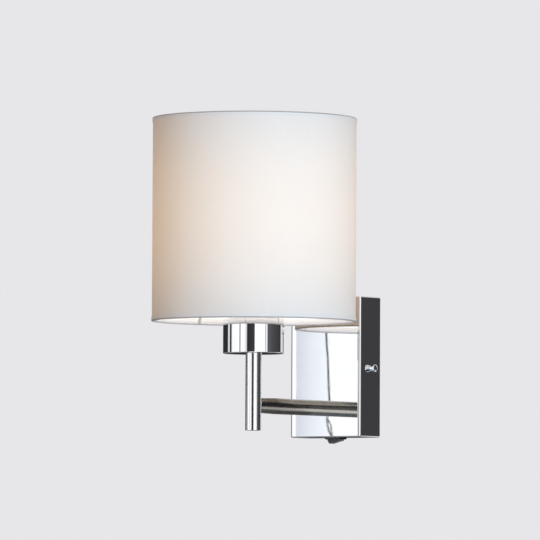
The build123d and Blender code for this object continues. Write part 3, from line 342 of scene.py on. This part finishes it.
def filament_recipe(place):
    beads = place.stretched((1.0, 1.0, 900.0)).grain(1.0, 1.0)
    return {
        "Base_Color": beads.mix((0.95, 0.68, 0.25), (1.0, 0.80, 0.42)),
        "Emission_Color": beads.mix((1.0, 0.60, 0.26), (1.0, 0.76, 0.45)),
        "Roughness": beads * 0.2 + 0.35,
    }


gloss_recipe = moulded_recipe((0.012, 0.012, 0.013), (0.022, 0.022, 0.024), 0.08, 0.000006)
holder_recipe = moulded_recipe((0.82, 0.80, 0.75), (0.89, 0.88, 0.84), 0.3, 0.00001)
block_recipe = moulded_recipe((0.84, 0.84, 0.81), (0.91, 0.91, 0.89), 0.28, 0.000015)
brown_recipe = moulded_recipe((0.15, 0.065, 0.028), (0.22, 0.105, 0.05), 0.28, 0.00001)
blue_recipe = moulded_recipe((0.03, 0.13, 0.42), (0.06, 0.19, 0.54), 0.28, 0.00001)
finishes["black_gloss_plastic"] = surface("black_gloss_plastic", gloss_recipe)
finishes["holder_plastic"] = surface("holder_plastic", holder_recipe)
finishes["block_plastic"] = surface("block_plastic", block_recipe)
finishes["brown_insulation"] = surface("brown_insulation", brown_recipe)
finishes["blue_insulation"] = surface("blue_insulation", blue_recipe)
finishes["green_yellow_insulation"] = surface("green_yellow_insulation", earth_recipe)
finishes["white_enamelled_wire"] = surface("white_enamelled_wire", enamel_recipe)
finishes["bulb_glass"] = surface("bulb_glass", glass_recipe, Transmission_Weight=1.0, IOR=1.47)
finishes["light_filament"] = surface("light_filament", filament_recipe, Emission_Strength=4.0)
print("finishes so far:", len(finishes))

# %% [markdown]
# ## The cloth and what is behind it
# The shade is one sheet of off-white cloth laminated to a stiff white film, rolled into a drum.
# The cloth is a fine plain weave with slubs: threads that are thicker here and there, which show
# as faint upright streaks. The weave is far too fine to model, so it is drawn in the material,
# from the distance round the drum and the height. The lamp is on, and its light through the cloth
# is painted on as a glow: painted light, warmest beside the bulb and fading towards both edges,
# where the hem hides the light.

# %% Cloth, tape and film finishes
POST_Y = -120.0 * MM
SHADE_RADIUS = 80.0 * MM
SHADE_LOW, SHADE_HIGH = (corner.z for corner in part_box("shade_fabric"))
THREAD = 0.36 * MM
BULB_MIDDLE = 103.2 * MM
GLOW_MIDDLE = 114.0 * MM
GLOW_REACH = 84.0 * MM
TUCK_RADIUS = 79.0 * MM


def round_the_drum(place):
    """Distance round the drum and height, both in metres, and the two as a vector."""
    x, y, z = place.parts()
    arc = place.math("ARCTAN2", y - POST_Y, x) * SHADE_RADIUS
    return arc, z, arc.joined(z, 0.0)


def weave_height(arc, height):
    """Plain weave: warp and weft threads pass over each other by turns, from 0 to 1."""
    turn = math.pi / THREAD
    over = arc.math("SINE", arc * turn) * arc.math("SINE", height * turn)
    warp = arc.math("ABSOLUTE", arc.math("COSINE", arc * turn))
    weft = arc.math("ABSOLUTE", arc.math("COSINE", height * turn))
    return (warp + weft) * 0.3 + over * 0.2 + 0.2


def glow(height, warm, edge):
    """Painted lamp light through the shade: the warm colour level with the bulb, the edge colour towards the
    top and the foot.
    """
    off = (height - GLOW_MIDDLE) / GLOW_REACH
    return (1.0 - off * off).between(0.0, 1.0).mix(edge, warm)


# Painted lamp light on the cloth: its colour level with the bulb, and at the top and the foot.
CLOTH_GLOW = (1.0, 0.60, 0.26)
CLOTH_GLOW_EDGE = (0.46, 0.27, 0.12)


def cloth_recipe(place):
    arc, height, flat = round_the_drum(place)
    slub = flat.stretched((2300.0, 42.0, 1.0)).grain(1.0, 2.0, 0.6)
    cross_slub = flat.stretched((50.0, 2100.0, 1.0)).grain(1.0, 2.0, 0.6)
    cloud = flat.grain(26.0, 3.0)
    weave = weave_height(arc, height)
    streak = (slub * 0.62 + cross_slub * 0.38).between(0.3, 0.7)
    tone = streak * 0.45 + cloud * 0.25 + weave * 0.3
    return {
        "Base_Color": tone.mix((0.70, 0.685, 0.665), (0.80, 0.79, 0.775)),
        "Roughness": weave * 0.12 + 0.78,
        # Painted lamp light through the cloth.
        "Emission_Color": glow(height, CLOTH_GLOW, CLOTH_GLOW_EDGE),
        "Normal": (weave * 0.7 + streak * 0.5).relief(0.00005, 0.5),
    }


def tape_recipe(place):
    """Cloth tape: painted lamp light outside as on the cloth, a brighter painted glow on the tucked inside,
    and painted shade where it folds over the edge.
    """
    x, y, z = place.parts()
    out = place.math("SQRT", x * x + (y - POST_Y) * (y - POST_Y))
    # The tucked inside of the tape, which takes a brighter painted glow.
    inside = out.between(TUCK_RADIUS, TUCK_RADIUS - 0.3 * MM)
    arc, height, flat = round_the_drum(place)
    weave = weave_height(arc, height)
    slub = flat.stretched((70.0, 1800.0, 1.0)).grain(1.0, 2.0)
    middle, half = (SHADE_LOW + SHADE_HIGH) / 2, (SHADE_HIGH - SHADE_LOW) / 2
    # The band where the tape folds over the edge, which takes painted shade.
    painted_fold_shade = height.math("ABSOLUTE", height - middle).between(half - 0.75 * MM, half - 0.25 * MM)
    tone = (weave * 0.4 + slub * 0.6).mix((0.72, 0.71, 0.70), (0.81, 0.80, 0.79))
    return {
        # Painted shade: darker where the tape folds over the edge.
        "Base_Color": painted_fold_shade.mix(tone, (0.42, 0.38, 0.36)),
        # Painted lamp light: bright on the tucked inside, and outside as on the cloth, with painted shade
        # where the tape folds.
        "Emission_Color": inside.mix(painted_fold_shade.mix(CLOTH_GLOW_EDGE, (0.15, 0.09, 0.04)), (0.95, 0.87, 0.84)),
        "Roughness": slub * 0.1 + 0.74,
        "Normal": (weave + slub).relief(0.00005, 0.5),
    }


def film_recipe(place):
    arc, height, flat = round_the_drum(place)
    speckle = flat.grain(900.0, 2.0)
    roll = flat.stretched((8.0, 120.0, 1.0)).grain(1.0, 3.0)
    return {
        "Base_Color": (speckle * 0.4 + roll * 0.6).mix((0.88, 0.87, 0.85), (0.91, 0.90, 0.88)),
        "Roughness": speckle * 0.1 + 0.38,
        # Painted lamp light on the film: brighter towards the top and the foot than level with the bulb.
        "Emission_Color": glow(height, (0.5, 0.47, 0.43), (1.0, 0.97, 0.93)),
        "Normal": speckle.relief(0.00002, 0.3),
    }


# The cloth and the tape glow with painted lamp light at this strength; the film takes a stronger one.
lit_cloth = {"Emission_Strength": 0.4, "Sheen_Weight": 0.1, "Sheen_Roughness": 0.6}
finishes["shade_cloth"] = surface("shade_cloth", cloth_recipe, **lit_cloth)
finishes["hem_tape"] = surface("hem_tape", tape_recipe, **lit_cloth)
finishes["shade_liner_film"] = surface("shade_liner_film", film_recipe, Emission_Strength=0.56)
print("finishes in all:", len(finishes))

# %% [markdown]
# ## Finishes on the rigid parts
# The shapes of the rigid parts are right as they come, so each keeps its mesh and takes the
# finish that the record names for it, apart from the post, which takes the softer chrome. The
# meshes bring their own normals, so round parts look round and folded edges stay crisp. To
# model them again would only add a second set of sizes that could drift from the first.

# %% Give each CAD node its finish
slot_of = {row["node"]: row["material_slot"] for row in frame["record"]["subparts"]}
for name, node in frame["nodes"].items():
    finish = "post_chrome" if name in ("post_tube", "post_end_cap") else slot_of[name]
    node.data.materials.clear()
    node.data.materials.append(finishes[finish])
print("dressed nodes:", len(slot_of))

# %% [markdown]
# ## The drum of cloth
# The drum is cut as one long strip and rolled until its ends lap by 10 mm at the back, where the
# lap faces the wall. A strip is a grid of points: distance along the strip in one direction and
# height in the other. Two such skins, joined along their edges, make a closed sheet with a real
# thickness. Near its end the strip climbs by its own thickness, over the end where it began.
# A ready-made cylinder is quicker to add, but it has no ends that could lap.

# %% Roll a strip into a drum
SEAM_BEARING = math.radians(90.0)
SEAM_LAP = 10.0 * MM
CLIMB = 7.0 * MM
CLOTH_THICKNESS = 0.5 * MM
FILM_RADIUS = 79.4 * MM
FILM_THICKNESS = 0.6 * MM


def ease(value):
    """Smooth step from 0 to 1."""
    value = min(max(value, 0.0), 1.0)
    return value * value * (3.0 - 2.0 * value)


def closed_skin(name, rows, skin, keep=lambda row, column: True):
    """A closed sheet from a grid: skin(row, column) gives its outer and inner point."""
    mesh = bpy.data.meshes.new(name)
    shape = bmesh.new()
    outer, inner = [], []
    for grid, side in ((outer, 0), (inner, 1)):
        for row in rows[0]:
            grid.append([shape.verts.new(skin(row, column)[side]) for column in rows[1]])
    used = {(i, j) for i in range(len(rows[0]) - 1) for j in range(len(rows[1]) - 1) if keep(i, j)}
    for i, j in used:
        corners = ((i, j), (i, j + 1), (i + 1, j + 1), (i + 1, j))
        shape.faces.new([outer[a][b] for a, b in corners])
        shape.faces.new([inner[a][b] for a, b in reversed(corners)])
        beyond = ((i - 1, j), (i, j + 1), (i + 1, j), (i, j - 1))
        runs = zip(corners[1:] + corners[:1], corners)
        for cell, ((a, b), (c, d)) in zip(beyond, runs):
            if cell not in used:
                shape.faces.new([outer[a][b], outer[c][d], inner[c][d], inner[a][b]])
    loose = [v for v in shape.verts if not v.link_faces]
    bmesh.ops.delete(shape, geom=loose, context="VERTS")
    bmesh.ops.recalc_face_normals(shape, faces=shape.faces)
    shape.to_mesh(mesh)
    shape.free()
    piece = bpy.data.objects.new(name, mesh)
    bpy.context.scene.collection.objects.link(piece)
    return piece


def smooth_by_angle(piece, degrees=40.0):
    """Smooth shading, with edges sharper than the angle left crisp."""
    for face in piece.data.polygons:
        face.use_smooth = True
    piece.data.set_sharp_from_angle(angle=math.radians(degrees))


def steps(low, high, size):
    """Evenly spaced numbers from low to high, about size apart."""
    count = max(2, round((high - low) / size))
    return [low + (high - low) * i / count for i in range(count + 1)]


def on_drum(radius, along, height):
    """The point at a distance along a strip of that radius, which starts at the seam."""
    angle = SEAM_BEARING + along / radius
    return Vector((radius * math.cos(angle), POST_Y + radius * math.sin(angle), height))


def climb_at(along, girth, thickness):
    """How far the strip has climbed over its own start."""
    return thickness * ease((along - girth + CLIMB) / CLIMB)


def rolled_sheet(name, outside, thickness, low, high):
    """One strip rolled into a drum with a lap, its skin slightly uneven as glued cloth is."""
    girth = 2.0 * math.pi * outside
    lengths = steps(0.0, girth - CLIMB, 2.4 * MM) + steps(girth - CLIMB, girth + SEAM_LAP, 0.8 * MM)[1:]
    heights = steps(low, high, 4.0 * MM)

    def skin(height, along):
        radius = outside + climb_at(along, girth, thickness + 0.03 * MM)
        wave = noise.noise(Vector((along * 45.0, height * 30.0, outside))) * 0.05 * MM
        fade = ease(min(height - low, high - height) / (6.0 * MM))
        place = on_drum(outside, along, height)
        out = Vector((place.x, place.y - POST_Y, 0.0)).normalized()
        outer = place + out * (radius - outside + wave * fade)
        return outer, outer - out * thickness

    piece = closed_skin(name, (heights, lengths), skin)
    smooth_by_angle(piece)
    print(name, "cut in mm:", round((girth + SEAM_LAP) / MM, 1), "x", round((high - low) / MM, 1))
    return piece, (girth + SEAM_LAP, high - low)


cloth, cloth_cut = rolled_sheet("shade_cloth_drum", SHADE_RADIUS, CLOTH_THICKNESS, SHADE_LOW, SHADE_HIGH)
film, film_cut = rolled_sheet("shade_film_drum", FILM_RADIUS, FILM_THICKNESS, SHADE_LOW, SHADE_HIGH)
for piece, node, slot in ((cloth, "shade_fabric", "shade_cloth"), (film, "shade_liner", "shade_liner_film")):
    piece.data.materials.append(finishes[slot])
    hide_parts(node)
    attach(piece, "fixture")

# %% [markdown]
# ## The folded hems
# Each edge is finished with a narrow tape of the same cloth. It is glued to the outside, folded
# over the edge and the wire hoop, and tucked under the hoop on the inside. Its section is a line
# that is followed round the drum. At the foot of the shade the tape is slit where the three
# spokes of the carrier leave the hoop, so those cells of the grid are left out. A curve with a
# bevel could follow the edge too, but nothing could be cut out of it.

# %% Fold the hem tapes
TAPE = 0.35 * MM
HOOP_RADIUS = 77.45 * MM
HOOP_WIRE = 1.25 * MM
HOOP_INSET = 1.65 * MM
SPOKE_BEARINGS = [math.radians(angle) for angle in (42.0, 162.0, 282.0)]
SLIT = 1.9 * MM
TAPE_LAP = 8.0 * MM
TAPE_START = 3.0 * MM
OVER_LAP_MIDDLE = 5.0 * MM
OVER_LAP_REACH = 9.0 * MM


def hem_section():
    """Middle line of the tape, from its outer edge to its tucked edge: radius, and depth below the edge."""
    outside = SHADE_RADIUS + TAPE / 2 + 0.05 * MM
    line = [(outside, depth * MM) for depth in (3.1, 2.4, 1.6, 0.8, 0.2)]
    for inward, depth in ((0.12, -0.1), (0.5, -0.2), (1.2, -0.2)):
        line.append((outside - inward * MM, depth * MM))
    wrap = HOOP_WIRE + TAPE / 2 + 0.05 * MM
    for degrees in (60, 80, 100, 125, 150, 175, 200, 225, 250, 275, 300):
        angle = math.radians(degrees)
        line.append((HOOP_RADIUS + wrap * math.cos(angle), HOOP_INSET - wrap * math.sin(angle)))
    return line + [(78.5 * MM, 3.5 * MM), (78.58 * MM, 4.6 * MM)]


def hem_tape(name, edge, upward, slit):
    """Tape round one edge of the shade; upward is 1 at the top and -1 at the foot."""
    line = hem_section()
    girth = 2.0 * math.pi * SHADE_RADIUS
    lengths = steps(0.0, girth + TAPE_LAP, 1.5 * MM)
    tucked = [radius < TUCK_RADIUS for radius, depth in line]

    def skin(index, along):
        radius, depth = line[index]
        before, after = line[max(index - 1, 0)], line[min(index + 1, len(line) - 1)]
        run = Vector((after[0] - before[0], before[1] - after[1])).normalized()
        across = Vector((run.y, -run.x)) * (TAPE / 2)
        bearing = SEAM_BEARING + (along - TAPE_START) / SHADE_RADIUS
        if radius > TUCK_RADIUS:
            over_cloth = 0.53 * MM * ease(1.0 - abs(along - OVER_LAP_MIDDLE) / OVER_LAP_REACH)
            over_tape = TAPE * ease((along - girth + 4.0 * MM) / (4.0 * MM))
        else:
            over_cloth = 0.0
            over_tape = 0.1 * MM * ease((along - girth) / TAPE_LAP)
        pucker = noise.noise(Vector((along * 260.0, index * 0.35, edge))) * 0.07 * MM
        rise = over_cloth + over_tape + pucker
        out = Vector((math.cos(bearing), math.sin(bearing), 0.0))
        middle = Vector((0.0, POST_Y, edge)) + out * (radius + rise) - Vector((0.0, 0.0, depth * upward))
        offset = out * across.x + Vector((0.0, 0.0, across.y * upward))
        return middle - offset, middle + offset

    def keep(i, j):
        if not slit or not (tucked[i] or tucked[i + 1]):
            return True
        bearing = SEAM_BEARING + ((lengths[j] + lengths[j + 1]) / 2 - TAPE_START) / SHADE_RADIUS
        apart = [abs(math.remainder(bearing - spoke, 2 * math.pi)) * HOOP_RADIUS for spoke in SPOKE_BEARINGS]
        return min(apart) > SLIT

    piece = closed_skin(name, (range(len(line)), lengths), skin, keep)
    smooth_by_angle(piece, 50.0)
    return piece


for name, node, edge, upward in (
    ("shade_hem_top", "shade_top_hem", SHADE_HIGH, 1),
    ("shade_hem_foot", "shade_bottom_hem", SHADE_LOW, -1),
):
    piece = hem_tape(name, edge, upward, slit=upward < 0)
    piece.data.materials.append(finishes["hem_tape"])
    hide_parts(node)
    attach(piece, "fixture")
    print(name, "faces:", len(piece.data.polygons))

# %% [markdown]
# ## The brazed joint
# The arm is shaped to fit the post and brazed to it, and the molten metal leaves a small bead in
# the corner all round. Two tubes that are only joined would meet in a bare sharp corner. The bead
# follows the curve where they meet, so its points come from the two circles: once round the arm,
# each point pushed out to the surface of the post.

# %% Braze bead between arm and post
ARM_LEVEL = -32.8 * MM
ARM_TIP = 5.7 * MM
POST_RADIUS = 6.25 * MM


def braze_bead():
    """A thin bead in the corner between the arm and the post."""
    mesh = bpy.data.meshes.new("arm_braze_bead")
    shape = bmesh.new()
    around, section = 72, 10
    rings = []
    for i in range(around):
        angle = 2 * math.pi * i / around
        girth = ARM_TIP + 0.12 * MM
        x, z = girth * math.cos(angle), girth * math.sin(angle)
        centre = Vector((x, POST_Y + math.sqrt((POST_RADIUS + 0.05 * MM) ** 2 - x * x), ARM_LEVEL + z))
        out = Vector((math.cos(angle), 0.0, math.sin(angle)))
        size = (0.42 + 0.08 * noise.noise(Vector((i * 0.35, 2.0, 0.0)))) * MM
        ring = []
        for k in range(section):
            spin = 2 * math.pi * k / section
            way = out * math.cos(spin) + Vector((0, 1, 0)) * math.sin(spin)
            ring.append(shape.verts.new(centre + way * size))
        rings.append(ring)
    for i in range(around):
        for k in range(section):
            a, b = rings[i], rings[(i + 1) % around]
            shape.faces.new([a[k], a[(k + 1) % section], b[(k + 1) % section], b[k]])
    bmesh.ops.recalc_face_normals(shape, faces=shape.faces)
    shape.to_mesh(mesh)
    shape.free()
    piece = bpy.data.objects.new("arm_braze_bead", mesh)
    bpy.context.scene.collection.objects.link(piece)
    smooth_by_angle(piece, 60.0)
    return piece


bead = braze_bead()
bead.data.materials.append(finishes["zinc_plated_steel"])
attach(bead, "fixture")
print("bead faces:", len(bead.data.polygons))

# %% [markdown]
# ## The studio
# The light is photographed against a pale background. A lit wall behind it would also brighten
# the shade, so the world has two levels: it gives even light from all sides, and rays from the
# camera, and those that metal or glass pass on, see a pale background instead. One large soft
# lamp stands to the right of the camera, and a small warm lamp fills the shade with the light
# of the bulb.

# %% World, floor and lamps
BACKDROP = (0.80, 0.79, 0.81)
AMBIENT = (0.93, 0.96, 1.0)
AMBIENT_LEVEL = 0.25
FLOOR_LEVEL = -0.5


def studio_world():
    world = bpy.data.worlds.new("studio")
    bpy.context.scene.world = world
    world.use_nodes = True
    world.node_tree.nodes.clear()
    start = Signal(world.node_tree)
    ray = start.add("ShaderNodeLightPath", output="Is Camera Ray")
    unseen = (1 - ray) * (1 - ray.other("Is Glossy Ray")) * (1 - ray.other("Is Transmission Ray"))
    even = start.add("ShaderNodeBackground", sockets={"Color": (*AMBIENT, 1.0), "Strength": AMBIENT_LEVEL})
    pale = start.add("ShaderNodeBackground", sockets={"Color": (*BACKDROP, 1.0), "Strength": 1.0})
    both = start.add("ShaderNodeMixShader", sockets={0: unseen, 1: pale, 2: even})
    start.add("ShaderNodeOutputWorld", sockets={"Surface": both})


def floor_recipe(place):
    mottle = place.grain(3.0, 4.0)
    return {"Base_Color": mottle.mix((0.74, 0.73, 0.75), (0.79, 0.78, 0.80)), "Roughness": mottle * 0.1 + 0.8}


def make_floor():
    mesh = bpy.data.meshes.new("floor")
    shape = bmesh.new()
    bmesh.ops.create_grid(shape, x_segments=8, y_segments=8, size=8.0)
    shape.to_mesh(mesh)
    shape.free()
    floor = bpy.data.objects.new("floor", mesh)
    floor.location.z = FLOOR_LEVEL
    floor.data.materials.append(surface("pale_floor", floor_recipe))
    bpy.context.scene.collection.objects.link(floor)


def lamp(name, kind, place, watts, colour, **settings):
    data = bpy.data.lights.new(name, kind)
    data.energy = watts
    data.color = colour
    for key, value in settings.items():
        setattr(data, key, value)
    made = bpy.data.objects.new(name, data)
    made.location = place
    made.visible_camera = False
    bpy.context.scene.collection.objects.link(made)
    return made


studio_world()
make_floor()
SOFTBOX_BEARING = CAMERA_BEARING + math.radians(22.0)
SOFTBOX_DISTANCE = 2.7
SOFTBOX_WATTS = 54.0
BULB_WATTS = 0.17
BULB_GLOW_RADIUS = 18.5 * MM
softbox_line = bearing_line(SOFTBOX_BEARING, math.radians(8.0))
softbox_shape = {"shape": "RECTANGLE", "size": 1.6, "size_y": 1.9}
softbox_place = softbox_line * SOFTBOX_DISTANCE
softbox = lamp("softbox", "AREA", softbox_place, SOFTBOX_WATTS, (0.62, 0.82, 1.0), **softbox_shape)
softbox.visible_glossy = False
softbox.rotation_mode = "QUATERNION"
softbox.rotation_quaternion = softbox_line.to_track_quat("Z", "Y")
bulb_place = (0.0, POST_Y, BULB_MIDDLE)
bulb_shape = {"shadow_soft_size": BULB_GLOW_RADIUS}
bulb_light = lamp("bulb_light", "POINT", bulb_place, BULB_WATTS, (1.0, 0.92, 0.83), **bulb_shape)
bulb_light.visible_glossy = bulb_light.visible_transmission = False
print("lamps:", softbox.name, bulb_light.name)

# %% [markdown]
# ## Cards for the chrome
# Polished metal has no look of its own: it shows the room. Photographers stand black and white
# cards round it, and the stripes on the cup and the post are those cards. Each card gives its
# own plain light, and only reflections see it, so the cards neither light the shade nor hide
# anything behind them. A picture of a room would fill the chrome as well, but its stripes could
# not be set one by one.


# %% The surface of a card
def card_surface(name, stops):
    """Plain light-giving card; stops run along it from its start to its end."""
    material = bpy.data.materials.new(name)
    material.use_nodes = True
    material.node_tree.nodes.clear()
    start = Signal(material.node_tree)
    along = start.add("ShaderNodeUVMap").parts()[0]
    colour = start.add("ShaderNodeValToRGB", {"stops": stops}, {"Fac": along})
    light = start.add("ShaderNodeEmission", sockets={"Color": colour})
    start.add("ShaderNodeOutputMaterial", sockets={"Surface": light})
    return material


def stand(name, mesh, *stops):
    """Put a card in the studio, where only reflections see it; a single stop makes it plain."""
    if len(stops) == 1:
        stops = ((0.0, stops[0]), (1.0, stops[0]))
    made = bpy.data.objects.new(name, mesh)
    made.data.materials.append(card_surface(name, stops))
    made.visible_camera = made.visible_diffuse = made.visible_transmission = made.visible_shadow = False
    bpy.context.scene.collection.objects.link(made)


BLACK = (0.03, 0.03, 0.032)
GREY = (0.055, 0.052, 0.055)
PALE = (0.6, 0.6, 0.62)
WHITE = (1.15, 1.15, 1.15)
print("tones of card:", len((BLACK, GREY, PALE, WHITE)))

# %% [markdown]
# ## A ring of cards
# The ring is a tall cylinder round the light, cut into strips. A strip is given by two bearings
# in degrees to the right of the camera. The round cup squeezes the whole ring into its width,
# so a narrow strip becomes a thin line on it. The flat plate mirrors only about one degree of
# the ring, round the seam between the blue card and the white one.

# %% Stand the cards in a ring
CARD_DISTANCE = 3.0
CARD_LOW, CARD_HIGH = -2.2, 2.4
CARD_STEP = 3.0


def card(name, start, end, *stops):
    """A strip of the ring between two bearings."""
    mesh = bpy.data.meshes.new(name)
    shape = bmesh.new()
    layer = shape.loops.layers.uv.new("along")
    count = max(2, round((end - start) / CARD_STEP))
    grid = []
    for level in (CARD_LOW, CARD_HIGH):
        row = []
        for i in range(count + 1):
            turned = math.radians(start + (end - start) * i / count)
            out = bearing_line(CAMERA_BEARING + turned) * CARD_DISTANCE
            row.append(shape.verts.new(out + Vector((0, 0, level))))
        grid.append(row)
    low, high = grid
    for i in range(count):
        face = shape.faces.new([low[i], low[i + 1], high[i + 1], high[i]])
        for loop, place in zip(face.loops, (i, i + 1, i + 1, i)):
            loop[layer].uv = (place / count, 0.5)
    shape.to_mesh(mesh)
    shape.free()
    stand(name, mesh, *stops)


SEAM = -73.92
PLATE_START = -74.72
card("card_far_left", -180.0, -110.8, BLACK)
card("card_left_edge", -99.2, -90.0, BLACK)
card("card_left_pale", -90.0, PLATE_START, (0.0, (0.72, 0.76, 0.86)), (0.4, WHITE), (1.0, WHITE))
sky = ((0.0, (0.76, 0.785, 0.86)), (0.5, (0.94, 0.97, 1.03)), (1.0, (1.06, 1.09, 1.15)))
card("card_left_blue", PLATE_START, SEAM, *sky)
card("card_left_white", SEAM, -54.2, WHITE)
card("card_left_line", -54.2, -50.0, (0.22, 0.22, 0.23))
card("card_middle_white", -50.0, -25.2, (0.0, WHITE), (0.6, WHITE), (1.0, PALE))
card("card_camera", -25.2, 2.6, (0.0, BLACK), (1.0, GREY))
card("card_front", 2.6, 41.6, WHITE)
card("card_front_line", 41.6, 46.6, PALE)
card("card_front_edge", 46.6, 50.8, WHITE)
dusk = ((0.0, (0.125, 0.125, 0.145)), (0.35, (0.075, 0.073, 0.078)), (0.7, GREY), (1.0, (0.04, 0.042, 0.045)))
card("card_right", 50.8, 122.5, *dusk)
card("card_far_right", 152.0, 180.0, (0.0, (0.2, 0.19, 0.19)), (1.0, BLACK))

# %% [markdown]
# ## A shaded gap over the seam
# In the plate of the real light a thin dark line runs down and forks near its foot: the shaded gap
# where the blue card and the white one meet. A dark ribbon just in front of the cards paints that
# shade. Because the plate mirrors so little of the ring, its bends are hundredths of a degree from
# the seam, at heights in metres.

# %% Hang the shaded gap
# Painted shade: the dark tone of the gap where the blue card and the white one meet.
GAP_SHADE_TONE = (0.16, 0.16, 0.16)
GAP_WIDTH = 0.05
GAP_TOP = ((-0.07, 0.15), (-0.055, 0.137), (-0.049, 0.131), (-0.028, 0.12), (-0.012, 0.1))
GAP_MIDDLE = ((0.0, 0.08), (0.023, 0.061), (0.01, 0.05), (-0.037, 0.0395))
GAP_FOOT = ((-0.023, 0.031), (0.012, 0.0236), (0.07, 0.0172))
BRANCH_WIDTH = 0.036
BRANCH = ((-0.03, 0.04), (0.0, 0.0375), (0.058, 0.0315), (0.07, 0.0236), (0.095, 0.0172))


# A dark ribbon just in front of the cards, as painted shade for that gap, seen only in reflections.
def shaded_gap(name, width, way):
    """A ribbon through points, each a bearing from the seam in degrees and a height."""
    mesh = bpy.data.meshes.new(name)
    shape = bmesh.new()
    row = None
    for offset, level in way:
        ends = []
        for side in (-0.5, 0.5):
            out = bearing_line(CAMERA_BEARING + math.radians(SEAM + offset + side * width))
            ends.append(shape.verts.new(out * (CARD_DISTANCE - 0.02) + Vector((0, 0, level))))
        if row:
            shape.faces.new([row[0], row[1], ends[1], ends[0]])
        row = ends
    shape.to_mesh(mesh)
    shape.free()
    stand(name, mesh, GAP_SHADE_TONE)


shaded_gap("shaded_gap_long", GAP_WIDTH, GAP_TOP + GAP_MIDDLE + GAP_FOOT)
shaded_gap("shaded_gap_branch", BRANCH_WIDTH, BRANCH)
print("points along the strap:", len(GAP_TOP + GAP_MIDDLE + GAP_FOOT))

# %% [markdown]
# ## Cards on the floor
# The arm is round and lies level, so its lower half mirrors the floor in bands along it: a light
# band where a pale card lies behind the light, and a dark one under it. Close to the plate the
# arm sees the floor by way of the plate, so the pale card has a brighter twin in front. A black
# card straight below gives the cup the dark line round its foot.

# %% Lay the floor cards
CARD_LEVEL = FLOOR_LEVEL + 0.01


def floor_card(name, tone, *corners):
    """A plain card that lies just above the floor between its corners."""
    mesh = bpy.data.meshes.new(name)
    mesh.from_pydata([(*corner, CARD_LEVEL) for corner in corners], [], [tuple(range(len(corners)))])
    stand(name, mesh, tone)


floor_card("card_floor_cup", BLACK, (-0.2, -0.5), (0.45, -0.5), (0.45, 0.1), (-0.2, 0.1))
floor_card("card_floor_arm", (0.14, 0.13, 0.12), (-0.4, 0.42), (0.11, 0.42), (0.11, 1.0), (-0.4, 1.0))
floor_card("card_floor_pale", WHITE, (0.17, 0.72), (0.55, 0.45), (1.55, 1.55), (0.95, 2.1))
floor_card("card_floor_front", (2.0, 2.0, 2.0), (0.17, -0.77), (0.95, -2.15), (1.55, -1.6), (0.55, -0.5))

# %% [markdown]
# ## The colour view
# The colours are shown through the Standard view.

# %% Set the colour view
bpy.context.scene.view_settings.view_transform = "Standard"
